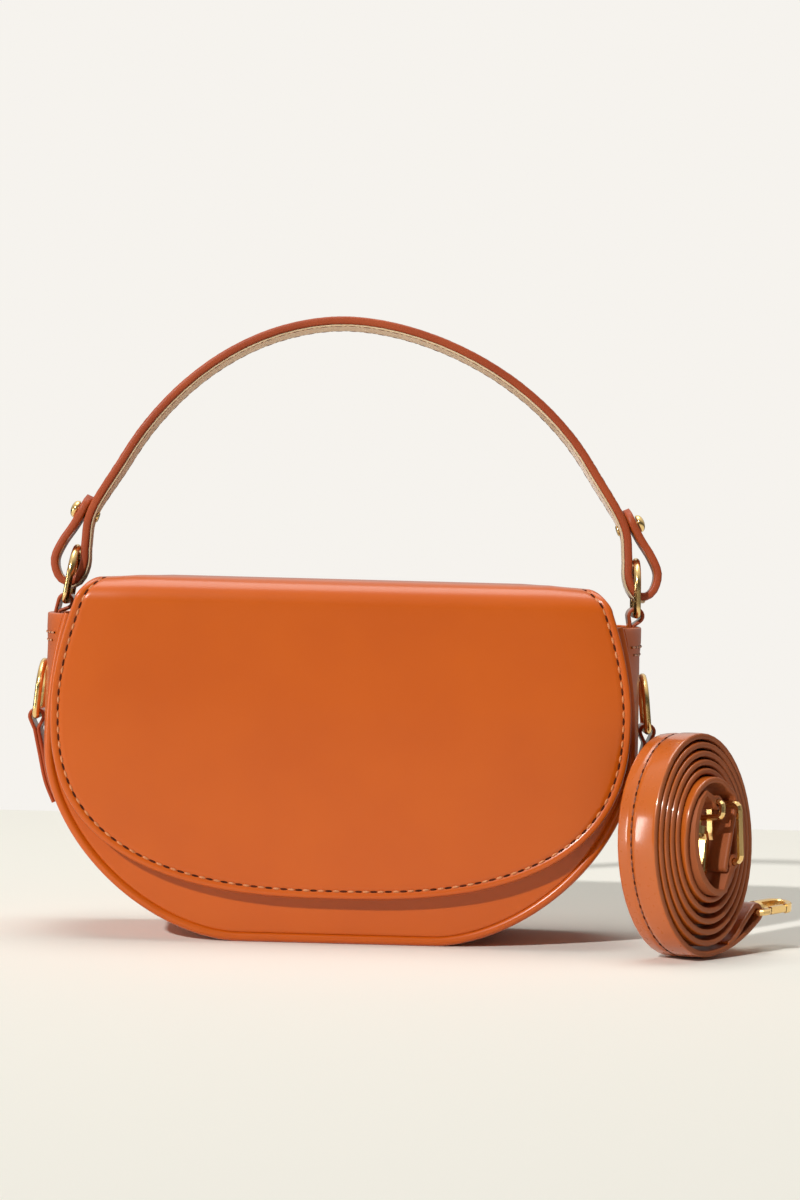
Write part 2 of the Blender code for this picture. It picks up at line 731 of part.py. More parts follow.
def handle_arch():
    # The strap's middle line over the arch, from the left leg to the right leg, above the pivot.
    power = 2 / handle_roundness
    low = math.asin(handle_leg_share ** (1 / power))
    points = []
    steps = 30
    for i in range(steps + 1):
        angle = low + (math.pi - 2 * low) * i / steps
        height = handle_rise * math.sin(angle) ** power
        across = -math.copysign(abs(math.cos(angle)) ** power, math.cos(angle)) * handle_span
        shift = handle_skew * (height / handle_rise) ** handle_skew_power
        points.append(Vector((across - shift, 0, height)))
    return points


# The folded end of the handle, outward from the bag's middle and up from the pivot: down the inner leg,
# under the ring, up the outer leg and along the leg again. Each pair is a share of the leg's place and
# of the height where the arch takes over.
handle_end_shares = ((0.985, 0.56), (1.004, 0.27), (1.006, 0.09), (1.028, -0.045), (1.063, -0.0845),
                     (1.099, -0.03), (1.115, 0.12), (1.090, 0.275), (1.051, 0.42), (1.0185, 0.56),
                     (0.992, 0.70))


def handle_end(side):
    top = handle_rise * handle_leg_share
    points = []
    for across, up in handle_end_shares:
        points.append(Vector((side * handle_leg_place * across, 0, top * up)))
    return points


def handle_width_at(height):
    share = (height - handle_taper_low) / (handle_taper_high - handle_taper_low)
    share = min(1.0, max(0.0, share))
    share = share * share * (3 - 2 * share)
    return handle_end_half_width + (handle_half_width - handle_end_half_width) * share


def handle_path():
    arch = handle_arch()
    left = smooth_path([arch[0]] + handle_end(-1), 3)[1:]
    right = smooth_path([arch[-1]] + handle_end(1), 3)[1:]
    return left[::-1] + arch + right, len(left), len(arch)


def make_handle():
    pivot = add_empty("handle_pivot", (handle_shift, 0, handle_pivot_height), (-handle_lean, 0, 0))
    path, end_count, arch_count = handle_path()
    half = handle_leather / 2

    def section(i):
        return flat_section(handle_width_at(path[i].z), -half, half, handle_chamfer)

    strap = add("handle_strap", sweep(path, Vector((0, 1, 0)), section), edge_leather, parent=pivot)

    # The suede lies under the arch and down the inside of both legs to the bottom of the loops.
    turn = 3 * 5 - 1
    first = end_count - turn
    last = end_count + arch_count + turn
    cover = path[first:last]
    low = -half - handle_lining_gap - handle_lining_thickness
    high = -half - handle_lining_gap

    def lining_section(i):
        return flat_section(handle_width_at(cover[i].z) - handle_lining_setback, low, high)

    lining = add("handle_lining", sweep(cover, Vector((0, 1, 0)), lining_section), suede, parent=pivot)

    for word, side in (("left", -1), ("right", 1)):
        height = handle_rise * rivet_share
        end = smooth_path([handle_arch()[0 if side < 0 else -1]] + handle_end(side), 12)
        lowest = min(range(len(end)), key=lambda i: end[i].z)
        inner = min(end[:lowest], key=lambda point: abs(point.z - height))
        outer = min(end[lowest:], key=lambda point: abs(point.z - height))
        inner_at = end.index(inner)
        along = (end[inner_at + 1] - end[inner_at - 1]).normalized()
        outward = Vector((-along.z, 0, along.x))
        if outward.x * side < 0:
            outward = -outward
        reach = (outer - inner).dot(outward)
        axis = outward.to_track_quat("Z", "Y").to_matrix().to_4x4()
        place = Matrix.Translation(inner) @ axis
        under = half + handle_lining_gap + handle_lining_thickness + clearance
        over = reach + half + clearance
        # The two legs are not quite parallel, so the dome stands off by what its rim needs.
        profile = [(0, -under - rivet_cap), (rivet_cap_radius * rivet_cap_face_share, -under - rivet_cap),
                   (rivet_cap_radius, -under - rivet_cap * rivet_cap_edge_share), (rivet_cap_radius, -under),
                   (rivet_shank_radius, -under), (rivet_shank_radius, over), (rivet_radius, over)]
        for across, up in rivet_dome_shares:
            profile.append((rivet_radius * across, over + rivet_dome * up))
        profile.append((0, over + rivet_dome))
        add(word + "_rivet", moved(turned(profile, 14), place), gold, parent=pivot)
        hole_radius = rivet_shank_radius + clearance
        hole = turned([(0, -under - cut_overrun), (hole_radius, -under - cut_overrun),
                       (hole_radius, over + cut_overrun), (0, over + cut_overrun)], 12)
        hole_copy = hole.copy()
        boolean(strap, moved(hole, place), "DIFFERENCE", word + "_strap_hole")
        boolean(lining, moved(hole_copy, place), "DIFFERENCE", word + "_lining_hole")


# Places that several pieces share
swell_shares = ((-1, 0), (-0.62, 0.68), (-0.25, 1), (0.25, 1), (0.62, 0.68), (1, 0))
piping_depth = body_depth / 2 - piping_radius * piping_sink_share
gusset_half_depth = piping_depth - piping_radius - clearance
lining_half_depth = body_depth / 2 - panel_thickness - clearance
lining_inset = gusset_thickness + 2 * tab_leather + 3 * clearance
handle_bar_height = handle_pivot_height - ring_leg
bar_above_loop = tab_loop_radius - tab_leather - ring_wire_radius - clearance
ring_height = ring_leg + ring_inner_radius + ring_wire_radius
eye_length = tail_loop_radius + 3 * clearance + hook_wire + eye_neck


def make_hardware():
    tongue_place = side_half_width - gusset_thickness - clearance - tab_leather
    root_height = gusset_height + tab_root_rise
    for word, side, bar_place in (("left", -1, left_bar_place), ("right", 1, right_bar_place)):
        # A handle ring's bar lies in the top of its tab's loop, which leans to where the handle holds it.
        bar = Vector((bar_place, 0, handle_bar_height))
        root = Vector((side * tongue_place, 0, root_height))
        up = (bar - root).normalized()
        tongue = [root, Vector((root.x, 0, root.z - handle_tongue_length))]
        make_tab(word + "_handle_tab", bar - up * bar_above_loop, tongue)
        top_place = handle_shift + side * ring_top_place
        make_ring(word + "_handle_ring", bar, math.asin((bar_place - top_place) / ring_height))

        # A side ring rests against the gusset, its bar held off by the loop.
        bar = Vector((side * (side_half_width + clearance + tab_loop_radius), 0, side_bar_height))
        loop_centre = bar - Vector((0, 0, bar_above_loop))
        root = loop_centre - Vector((0, 0, tab_loop_drop))
        tongue = [root]
        for share in side_tongue_shares:
            tongue.append(side_tongue_point(side, root.z - side_tongue_length * share))
        make_tab(word + "_side_tab", loop_centre, tongue)
        lean = math.asin((tab_loop_radius - ring_wire_radius) / ring_height)
        make_ring(word + "_side_ring", bar, side * lean)


def side_tongue_point(side, height):
    # On the outside of the gusset's middle line, two plies thick.
    half = [point for point in body_curve(0, gusset_height) if point.x > 0]
    for low, high in zip(half, half[1:]):
        if low.z <= height <= high.z:
            point = low.lerp(high, (height - low.z) / (high.z - low.z))
            along = (high - low).normalized()
            outward = Vector((along.z, 0, -along.x))
            place = point + outward * (swell_at(point) + side_tongue_gap + tab_leather)
            return Vector((side * place.x, 0, place.z))
    raise ValueError("the tongue runs past the gusset")


def coil_path():
    # The strap's middle line in the coil's own plane, from its first full turn to the end of its tail.
    half_width = coil_half_width - strap_thickness / 2
    half_height = coil_half_height - strap_thickness / 2
    steps = round(coil_turns * coil_steps)
    spiral = []
    for i in range(steps + 1):
        back = (steps - i) / coil_steps
        angle = -math.pi / 2 - back * 2 * math.pi
        across = (half_width - coil_pitch_across * back) * math.cos(angle)
        up = (half_height - coil_pitch_up * back) * math.sin(angle)
        spiral.append(Vector((across, 0, up + coil_step_up * back)))
    tail = []
    for share in (0.25, 0.5, 0.75, 1.0):
        tail.append(Vector((tail_length * share, 0, spiral[-1].z + tail_rise * share * share)))
    return spiral, tail


def least_gap(spiral):
    # The least distance between neighbouring turns, from face to face, measured on the path's points.
    least = 1.0
    for i, point in enumerate(spiral):
        for other in range(i + coil_steps // 2, len(spiral)):
            least = min(least, (spiral[other] - point).length)
    return least - strap_thickness


def rounded_outline(corners, radius, steps=3):
    # A closed outline of (first, second) pairs with every corner rounded alike.
    points = []
    count = len(corners)
    for i, corner in enumerate(corners):
        here = Vector((*corner, 0))
        to_last = (Vector((*corners[i - 1], 0)) - here).normalized()
        to_next = (Vector((*corners[(i + 1) % count], 0)) - here).normalized()
        half_angle = to_last.angle(to_next) / 2
        reach = radius / math.tan(half_angle)
        centre = here + (to_last + to_next).normalized() * (radius / math.sin(half_angle))
        first = (here + to_last * reach - centre).normalized()
        last = (here + to_next * reach - centre).normalized()
        for k in range(steps + 1):
            arm = first.slerp(last, k / steps) * radius
            points.append((centre.x + arm.x, centre.y + arm.y))
    return points


def pierced(outline, holes, half_width, middle):
    # An outline in the X-Z plane with round holes, as thick as the strap is wide.
    body = bmesh.new()
    sides = []
    for depth in (middle - half_width, middle + half_width):
        rows = []
        for line in (outline, *holes):
            rows.append([body.verts.new((point.x, depth, point.z)) for point in line])
        sides.append(rows)
    for first, second in zip(*sides):
        for i in range(len(first)):
            j = (i + 1) % len(first)
            body.faces.new((first[i], first[j], second[j], second[i]))
    for rows in sides:
        edges = []
        for row in rows:
            edges += [body.edges.get((row[i], row[(i + 1) % len(row)])) for i in range(len(row))]
        bmesh.ops.triangle_fill(body, use_beauty=True, edges=edges)
    return body


def ring_points(centre, radius, start, sweep_angle, steps):
    points = []
    for i in range(steps + 1):
        angle = start + sweep_angle * i / steps
        points.append(centre + Vector((radius * math.cos(angle), 0, radius * math.sin(angle))))
    return points


def looped(path, half, eye_radii, bores, steps=12):
    # Outline of a strip along a path whose first and last points are the centres of round eyes.
    # An eye radius of 0 leaves that end square.
    along = tangents(path)
    left, right = [], []
    first = 1 if eye_radii[0] else 0
    last = len(path) - 1 if eye_radii[1] else len(path)
    for point, direction in list(zip(path, along))[first:last]:
        normal = Vector((-direction.z, 0, direction.x))
        left.append(point + normal * half)
        right.append(point - normal * half)
    outline = list(right)
    if eye_radii[1]:
        back = path[-2] - path[-1]
        heading = math.atan2(back.z, back.x)
        cut = math.asin(half / eye_radii[1])
        outline += ring_points(path[-1], eye_radii[1], heading + cut, 2 * math.pi - 2 * cut, steps)
    outline += left[::-1]
    if eye_radii[0]:
        back = path[1] - path[0]
        heading = math.atan2(back.z, back.x)
        cut = math.asin(half / eye_radii[0])
        outline += ring_points(path[0], eye_radii[0], heading + cut, 2 * math.pi - 2 * cut, steps)
    holes = []
    for centre, bore in ((path[0], bores[0]), (path[-1], bores[1])):
        if bore:
            holes.append(ring_points(centre, bore, 0, 2 * math.pi, steps)[:-1])
    return outline, holes


def make_coil():
    # In the stand's frame the coil's plane is X-Z and its open face looks along -Y.
    height = coil_half_height * math.cos(coil_lean) + strap_half_width * math.sin(coil_lean) + coil_floor_gap
    stand = add_empty("coil_stand", (coil_place_x, coil_place_y, height), (-coil_lean, 0, coil_turn))
    spiral, tail = coil_path()
    print("least gap between the strap's turns, in mm:", round(least_gap(spiral) / mm, 3))
    middle = Vector((buckle_place, -buckle_out, buckle_up))
    near_bar = middle - Vector((0, 0, buckle_half_length))
    far_bar = middle + Vector((0, 0, buckle_half_length))
    half = strap_thickness / 2
    behind = buckle_wire_radius + clearance + half
    before = buckle_wire_radius + clearance + short_strap_leather + clearance + half
    lead = [near_bar - Vector((before, 0, 2 * buckle_wire_radius)), near_bar - Vector((before, 0, 0)),
            far_bar + Vector((behind, 0, 0)), spiral[0] - Vector((0, buckle_out, 0))]
    inner_end = smooth_path(lead, 5)[:-1]
    inner_turn = []
    for i, point in enumerate(spiral):
        share = max(0.0, 1 - i / (coil_steps * buckle_lead_share))
        share = share * share * (3 - 2 * share)
        stepped = coil_step_out * (coil_turns - i / coil_steps)
        inner_turn.append(point - Vector((0, stepped + (buckle_out - stepped) * share, 0)))

    # The tail folds back over itself round the outer hook's eye.
    end = tail[-1]
    along = (tail[-1] - tail[-2]).normalized()
    upward = Vector((-along.z, 0, along.x))
    loop_middle = tail_loop_radius - half
    eye_centre = end + upward * loop_middle
    fold = []
    for i in range(1, 10):
        angle = -math.pi / 2 + math.pi * i / 9
        fold.append(eye_centre + (along * math.cos(angle) + upward * math.sin(angle)) * loop_middle)
    ply = strap_thickness + short_strap_gap
    rise = 2 * loop_middle - ply
    backward = [fold[-1]]
    for back_share, rise_share in tail_fold_shares:
        backward.append(end - along * tail_end * back_share + upward * (ply + rise * rise_share))
    fold += smooth_path(backward, 3)[1:]
    path = inner_end + inner_turn + tail + fold
    across = Vector((0, 1, 0))
    strap = add("shoulder_strap", sweep(path, across, lambda i: flat_section(strap_half_width, -half, half)),
                edge_leather, parent=stand)
    slot_half = prong_half_width + clearance
    slot = box((middle.x - before - half - cut_overrun, middle.y - slot_half, middle.z - prong_slot_low),
               (middle.x + behind + half, middle.y + slot_half, middle.z + prong_slot_high))
    boolean(strap, slot, "DIFFERENCE", "prong_slot")

    corners = [(-buckle_half_length, -buckle_half_width), (buckle_half_length, -buckle_half_width),
               (buckle_half_length, buckle_half_width), (-buckle_half_length, buckle_half_width)]
    wire = round_section(buckle_wire_radius)
    frame_path = [middle + Vector((0, w, h)) for h, w in rounded_outline(corners, buckle_corner)]
    add("buckle_frame", sweep(frame_path, Vector((1, 0, 0)), lambda i: wire, closed=True), gold, parent=stand)

    rest = buckle_place - buckle_wire_radius - clearance - prong_thickness / 2
    bar_bore = buckle_wire_radius + clearance
    low_bend = near_bar.lerp(middle, 0.5) - Vector((buckle_wire_radius, 0, 0))
    prong_path = [near_bar, low_bend, Vector((rest, middle.y, middle.z)),
                  Vector((rest, middle.y, far_bar.z + buckle_wire_radius))]
    outline, holes = looped(prong_path, prong_thickness / 2, (bar_bore + short_strap_leather, 0), (bar_bore, 0))
    prong = pierced(outline, holes, prong_half_width, -buckle_out)
    add("buckle_prong", prong, gold, near_bar, stand)

    # The short strap runs from the buckle's near bar along the wall of the hollow to the inner hook.
    short_half = short_strap_leather
    setback = half + short_strap_gap + short_half
    short_path = [near_bar]
    first, last = round(coil_steps * short_first_share), round(coil_steps * short_last_share)
    wall = list(zip(spiral, tangents(spiral)))[first:last:-1]
    for point, direction in wall:
        short_path.append(point + Vector((-direction.z, 0, direction.x)) * setback)
    inner_eye = Vector((short_eye_right, -buckle_out, short_eye_up))
    short_path.append(inner_eye)
    bar_eye = bar_bore + short_strap_leather
    hook_bore = hook_wire + clearance
    outline, holes = looped(short_path, short_half, (bar_eye, hook_bore + short_strap_leather),
                            (bar_bore, hook_bore))
    short = add("short_strap", pierced(outline, holes, strap_half_width, -buckle_out), edge_leather, parent=stand)
    reach = bar_eye + clearance
    notch = box((near_bar.x - reach, -buckle_out - slot_half, near_bar.z - reach),
                (near_bar.x + reach, -buckle_out + slot_half, near_bar.z + reach))
    boolean(short, notch, "DIFFERENCE", "prong_notch")

    make_hook("outer_hook", stand, eye_centre, (0, outer_hook_droop, outer_hook_swing), outer_hook_roll)
    make_hook("inner_hook", stand, inner_eye, (0, inner_hook_heading, 0), math.pi / 2)


def make_hook(name, stand, eye_place, heading, swivel):
    # Lengths run along X from the bar in the strap's end; the bar lies along Y.
    holder = add_empty(name + "_holder", eye_place, heading, stand)
    barrel_place = eye_length + barrel_half_length
    eye_straight = eye_length * eye_straight_share
    mouth = eye_neck * eye_mouth_share
    corners = [(0, -eye_half_width), (0, eye_half_width), (eye_straight, eye_half_width),
               (eye_length - eye_neck, mouth), (eye_length - eye_neck, -mouth), (eye_straight, -eye_half_width)]
    eye_outline = rounded_outline(corners, eye_neck * eye_corner_share)
    wire = round_section(hook_wire)
    eye_path = [Vector((a, b, 0)) for a, b in eye_outline]
    eye = add(name + "_eye", sweep(eye_path, Vector((0, 0, 1)), lambda i: wire, closed=True), gold, parent=holder)
    to_x = Matrix.Rotation(math.pi / 2, 4, "Y")
    head_low = barrel_place + barrel_half_length + clearance
    foot = post_radius * post_foot_share
    post = turned([(0, eye_length - eye_neck), (foot, eye_length - eye_neck),
                   (foot, eye_length - clearance), (post_radius, eye_length - clearance),
                   (post_radius, head_low), (post_head_radius, head_low),
                   (post_head_radius, head_low + post_head * post_rim_share),
                   (post_head_radius * post_rim_share, head_low + post_head), (0, head_low + post_head)], 12)
    boolean(eye, moved(post, to_x), "UNION", name + "_post")

    body_holder = add_empty(name + "_swivel", (barrel_place, 0, 0), (swivel, 0, 0), holder)
    barrel = turned_ring([(barrel_bore, -barrel_half_length), (barrel_radius, -barrel_half_length),
                          (barrel_radius, barrel_half_length), (barrel_bore, barrel_half_length)], 16)
    body = add(name + "_body", moved(barrel, to_x), gold, parent=body_holder)
    half_bar = hook_bar / 2
    seat = barrel_radius * hook_seat_share
    spine = [Vector((seat, barrel_radius, 0)),
             Vector((barrel_radius, 0.5 * (barrel_radius + hook_bow + half_bar), 0)),
             Vector((2 * barrel_radius, hook_bow, 0))]
    bow_centre = Vector((hook_reach, 0, 0))
    path = spine
    for i in range(11):
        angle = math.pi / 2 - math.pi * i / 10
        path.append(bow_centre + Vector((hook_bow * math.cos(angle), hook_bow * math.sin(angle), 0)))
    nose = hook_reach - hook_bar / 2
    path.append(Vector((nose, -hook_bow, 0)))
    across = Vector((0, 0, 1))
    chamfer = half_bar * bar_chamfer_share
    bar = sweep(path, across, lambda i: flat_section(hook_thickness / 2, -half_bar, half_bar, chamfer))
    boolean(body, bar, "UNION", name + "_bar")
    lug_path = [Vector((seat, -barrel_radius, 0)), Vector((gate_pivot_reach / 2, -hook_bow, 0)),
                Vector((gate_pivot_reach - clearance, -hook_bow, 0))]
    lug_width = hook_thickness * lug_width_share
    lug = sweep(lug_path, across, lambda i: flat_section(lug_width, -gate_bar / 2, gate_bar / 2))
    boolean(body, lug, "UNION", name + "_lug")

    pivot = Vector((gate_pivot_reach + gate_bar / 2, -hook_bow, 0))
    gate_path = [pivot - Vector((gate_bar * gate_tail_share, 0, 0)), Vector((nose - clearance, -hook_bow, 0))]
    gate_width = hook_thickness * gate_width_share
    gate_chamfer = gate_bar * gate_chamfer_share
    gate = sweep(gate_path, across, lambda i: flat_section(gate_width, -gate_bar / 2, gate_bar / 2, gate_chamfer))
    add(name + "_gate", gate, gold, pivot, body_holder)


def make_board():
    floor = lining_inset - clearance
    top = floor
    low = gusset_thickness + clearance
    add("base_board", box((-board_half_length, -board_half_width, low), (board_half_length, board_half_width, top)),
        board)


make_panel("front_panel", -1, leather)
make_panel("back_panel", 1, leather)
make_gusset()
make_piping("front_piping", -1)
make_piping("back_piping", 1)
make_board()
make_lining()
make_pocket()
make_flap()
make_snap()
make_handle()
make_hardware()
make_coil()
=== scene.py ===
# Looks of the half-moon flap bag and of the shoulder strap coiled beside it, in metres.
from math import asin, copysign, cos, exp, hypot, pi, radians, sin, sqrt

import bmesh
import bpy
from bmesh import ops
from mathutils import Matrix, Vector


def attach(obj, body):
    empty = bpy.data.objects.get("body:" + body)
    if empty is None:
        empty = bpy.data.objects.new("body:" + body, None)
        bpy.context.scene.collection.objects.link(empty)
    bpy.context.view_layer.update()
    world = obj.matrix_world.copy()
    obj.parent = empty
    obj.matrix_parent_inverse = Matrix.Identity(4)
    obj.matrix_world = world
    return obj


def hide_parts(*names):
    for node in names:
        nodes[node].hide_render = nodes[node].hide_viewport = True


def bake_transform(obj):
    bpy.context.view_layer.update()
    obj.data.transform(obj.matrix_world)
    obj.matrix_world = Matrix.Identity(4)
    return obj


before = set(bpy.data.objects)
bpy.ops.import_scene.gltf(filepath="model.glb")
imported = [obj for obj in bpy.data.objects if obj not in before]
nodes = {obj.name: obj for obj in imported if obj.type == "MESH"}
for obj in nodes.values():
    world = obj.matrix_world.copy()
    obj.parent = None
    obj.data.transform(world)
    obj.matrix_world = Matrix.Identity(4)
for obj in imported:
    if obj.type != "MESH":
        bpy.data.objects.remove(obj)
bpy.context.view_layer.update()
depthAxis = Vector((0, 1, 0))
clearance = 0.0003  # between a strap and the hardware it goes round
print("frame loaded,", len(nodes), "nodes")

# Materials: every colour is in the first dictionary, every pattern in the second, every leather in the third.

colours = {  # two for each material, by its name
    "smoothLeather": ((0.570, 0.101, 0.002), (0.545, 0.093, 0.002)),
    "strapLeather": ((0.500, 0.112, 0.012), (0.470, 0.100, 0.010)),
    "paintedEdge": ((0.400, 0.076, 0.022), (0.310, 0.050, 0.014)),
    "cutEdge": ((0.380, 0.108, 0.034), (0.290, 0.074, 0.022)),
    "creamSuede": ((0.760, 0.610, 0.400), (0.640, 0.490, 0.300)),
    "liningCloth": ((0.430, 0.290, 0.170), (0.560, 0.400, 0.240)),
    "tanThread": ((0.700, 0.280, 0.110), (0.560, 0.190, 0.060)),
    "brownThread": ((0.300, 0.075, 0.022), (0.110, 0.026, 0.014)),
    "darkThread": ((0.110, 0.026, 0.014), (0.310, 0.050, 0.014)),
    # painted shade: the dark of the needle holes and of the thread's groove
    "holeShade": ((0.045, 0.014, 0.008), (0.110, 0.026, 0.014)),
    "fibreBoard": ((0.200, 0.140, 0.090), (0.045, 0.014, 0.008)),
    "paleGold": ((0.930, 0.660, 0.290), (0.840, 0.540, 0.200)),
}
patterns = dict(  # how fine each pattern is, and how deep each relief
    leatherCloud=26.0, pores=2300.0, creases=420.0, leatherRelief=0.0002,
    suedeCloud=300.0, nap=2600.0, suedeRelief=0.0002, weave=480.0, clothRelief=0.0003,
    goldCloud=160.0, scratches=700.0, goldRelief=0.0001, threadCloud=900.0, twist=900.0,
    threadRelief=0.0002, fibres=500.0, boardRelief=0.0003,
)
leathers = {  # roughness, strength of the relief, coat and the coat's roughness
    "smoothLeather": (0.36, 0.06, 0.45, 0.22),
    "strapLeather": (0.28, 0.02, 0.80, 0.12),
    "paintedEdge": (0.42, 0.25, 0.0, 0.18),
    "cutEdge": (0.50, 0.30, 0.0, 0.18),
}


def addNode(tree, kind, inputs=None, **settings):
    node = tree.nodes.new("ShaderNode" + kind)
    for key, value in settings.items():
        setattr(node, key, value)
    for key, value in (inputs or {}).items():
        if isinstance(value, bpy.types.NodeSocket):
            tree.links.new(value, node.inputs[key])
        else:
            node.inputs[key].default_value = value
    return node


def setSockets(shader, values):
    for key, value in values.items():
        shader.inputs[key].default_value = value


def blankMaterial(name):
    material = bpy.data.materials.new(name)
    material.use_nodes = True
    tree = material.node_tree
    place = addNode(tree, "TexCoord").outputs["Object"]
    return material, tree, tree.nodes["Principled BSDF"], place


def cloudy(tree, place, pattern, detail):
    clouds = addNode(tree, "TexNoise", {"Vector": place, "Scale": patterns[pattern], "Detail": detail})
    return clouds.outputs["Fac"]


def mixed(tree, shader, share, name):
    first, second = colours[name]
    mix = addNode(tree, "Mix", {0: share, 6: (*first, 1), 7: (*second, 1)}, data_type="RGBA")
    tree.links.new(mix.outputs[2], shader.inputs["Base Color"])


def mottled(tree, shader, place, name, pattern, low=0.35, high=0.65, detail=3.0):
    # Clouds of two colours; the clouds themselves are returned.
    cloud = cloudy(tree, place, pattern, detail)
    share = addNode(tree, "MapRange", {"Value": cloud, "From Min": low, "From Max": high}).outputs["Result"]
    mixed(tree, shader, share, name)
    return share


def bumped(tree, shader, height, strength, relief):
    bump = addNode(tree, "Bump", {"Height": height, "Strength": strength, "Distance": patterns[relief]})
    tree.links.new(bump.outputs["Normal"], shader.inputs["Normal"])


def roughened(tree, shader, pattern, low, high):
    rough = addNode(tree, "MapRange", {"Value": pattern, "To Min": low, "To Max": high})
    tree.links.new(rough.outputs["Result"], shader.inputs["Roughness"])


def leatherMaterial(name, roughness, strength, coat, coatRoughness):
    material, tree, shader, place = blankMaterial(name)
    mottled(tree, shader, place, name, "leatherCloud")
    pores = addNode(tree, "TexVoronoi", {"Vector": place, "Scale": patterns["pores"], "Randomness": 1.0},
                    feature="SMOOTH_F1")
    creases = cloudy(tree, place, "creases", 4.0)
    height = addNode(tree, "Math", {0: pores.outputs["Distance"], 1: creases}, operation="ADD")
    bumped(tree, shader, height.outputs[0], strength, "leatherRelief")
    roughened(tree, shader, creases, roughness - 0.05, roughness + 0.07)
    setSockets(shader, {"Coat Weight": coat, "Coat Roughness": coatRoughness, "Specular IOR Level": 0.3})
    return material


def suedeMaterial(name):
    material, tree, shader, place = blankMaterial(name)
    mottled(tree, shader, place, name, "suedeCloud", 0.3, 0.7, 5.0)
    bumped(tree, shader, cloudy(tree, place, "nap", 3.0), 0.3, "suedeRelief")
    setSockets(shader, {"Roughness": 0.95, "Sheen Weight": 0.35, "Sheen Roughness": 0.4})
    return material


def clothMaterial(name):
    material, tree, shader, place = blankMaterial(name)
    threads = []
    for axis in ("X", "Z"):
        wave = addNode(tree, "TexWave", {"Vector": place, "Scale": patterns["weave"], "Distortion": 0.6,
                                         "Detail": 1.0, "Detail Scale": 3.0}, bands_direction=axis)
        threads.append(wave.outputs["Fac"])
    weave = addNode(tree, "Math", {0: threads[0], 1: threads[1]}, operation="MULTIPLY")
    mixed(tree, shader, weave.outputs[0], name)
    bumped(tree, shader, weave.outputs[0], 0.5, "clothRelief")
    setSockets(shader, {"Roughness": 0.9, "Sheen Weight": 0.2})
    return material


def metalMaterial(name):
    material, tree, shader, place = blankMaterial(name)
    mottled(tree, shader, place, name, "goldCloud", 0.3, 0.8)
    stretched = addNode(tree, "Mapping", {"Vector": place, "Scale": (1.0, 9.0, 1.0)})
    scratches = cloudy(tree, stretched.outputs["Vector"], "scratches", 4.0)
    roughened(tree, shader, scratches, 0.15, 0.26)
    bumped(tree, shader, scratches, 0.06, "goldRelief")
    setSockets(shader, {"Metallic": 1.0})
    return material


def threadMaterial(name):
    material, tree, shader, place = blankMaterial(name)
    mottled(tree, shader, place, name, "threadCloud")
    twist = addNode(tree, "TexWave", {"Vector": place, "Scale": patterns["twist"], "Distortion": 1.0},
                    bands_direction="DIAGONAL")
    bumped(tree, shader, twist.outputs["Fac"], 0.5, "threadRelief")
    setSockets(shader, {"Roughness": 0.35, "Sheen Weight": 0.15})
    return material


def boardMaterial(name):
    material, tree, shader, place = blankMaterial(name)
    cloud = mottled(tree, shader, place, name, "fibres", 0.3, 1.2)
    bumped(tree, shader, cloud, 0.3, "boardRelief")
    setSockets(shader, {"Roughness": 0.9})
    return material


flapLeather, strapLeather, paintedEdge, coilEdge = (leatherMaterial(name, *leathers[name]) for name in leathers)
suede = suedeMaterial("creamSuede")
liningCloth = clothMaterial("liningCloth")
thread, brownThread, darkThread, holeShade = (
    threadMaterial(name) for name in ("tanThread", "brownThread", "darkThread", "holeShade"))
# The needle holes' finish is painted shade, kept dark with no shine.
setSockets(holeShade.node_tree.nodes["Principled BSDF"], {"Specular IOR Level": 0.0, "Sheen Weight": 0.0})
fibreBoard = boardMaterial("fibreBoard")
gold = metalMaterial("paleGold")
print("materials made")

# How pieces are made.

gridStep = 0.01  # between the cuts across a sheet
mergeGap = 2e-6  # within which a CAD node's corners are one


def meshFrom(name, shape, finishes):
    mesh = bpy.data.meshes.new(name)
    shape.to_mesh(mesh)
    shape.free()
    for finish in finishes:
        mesh.materials.append(finish)
    return mesh


def addObject(name, data):
    made = bpy.data.objects.new(name, data)
    bpy.context.scene.collection.objects.link(made)
    return made


def makePiece(name, shape, finishes, body, stands=(), sharp=40, place=None):
    if place:
        ops.transform(shape, matrix=place, verts=shape.verts[:])
    mesh = meshFrom(name, shape, finishes)
    mesh.shade_smooth()
    mesh.set_sharp_from_angle(angle=radians(sharp))
    piece = addObject(name, mesh)
    if body:
        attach(piece, body)
    if stands:
        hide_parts(*stands)
    return piece


def headings(path, closed=False):
    found = []
    for i, point in enumerate(path):
        before = path[i - 1] if i or closed else point
        after = path[(i + 1) % len(path)] if i + 1 < len(path) or closed else point
        found.append((after - before).normalized())
    return found


def leftOf(along):
    return Vector((-along.z, 0, along.x))


def mirrored(points):
    # The other half of a line that is even about the middle, in the order that carries the line on.
    return [Vector((-p.x, p.y, p.z)) for p in reversed(points)]


def quarterTurn(steps):
    # Sine and cosine at even steps of a quarter turn, without its start.
    angles = [pi / 2 * i / steps for i in range(1, steps + 1)]
    return [(sin(angle), cos(angle)) for angle in angles]


def arc(centre, right, up, radius, start, sweep, steps):
    angles = [start + sweep * i / steps for i in range(steps + 1)]
    return [centre + (right * cos(angle) + up * sin(angle)) * radius for angle in angles]


def smoothShare(value):
    value = min(1.0, max(0.0, value))
    return value * value * (3 - 2 * value)


def evenPath(points, spacing, closed=False):
    # The same line with points at even distances.
    line = list(points) + ([points[0]] if closed else [])
    lengths = [0.0]
    for first, second in zip(line, line[1:]):
        lengths.append(lengths[-1] + (second - first).length)
    count = max(2, round(lengths[-1] / spacing))
    found = []
    k = 0
    for i in range(count + (0 if closed else 1)):
        at = lengths[-1] * i / count
        while k < len(line) - 2 and lengths[k + 1] < at:
            k += 1
        step = lengths[k + 1] - lengths[k]
        found.append(line[k].lerp(line[k + 1], min(1.0, (at - lengths[k]) / step) if step else 0))
    return found


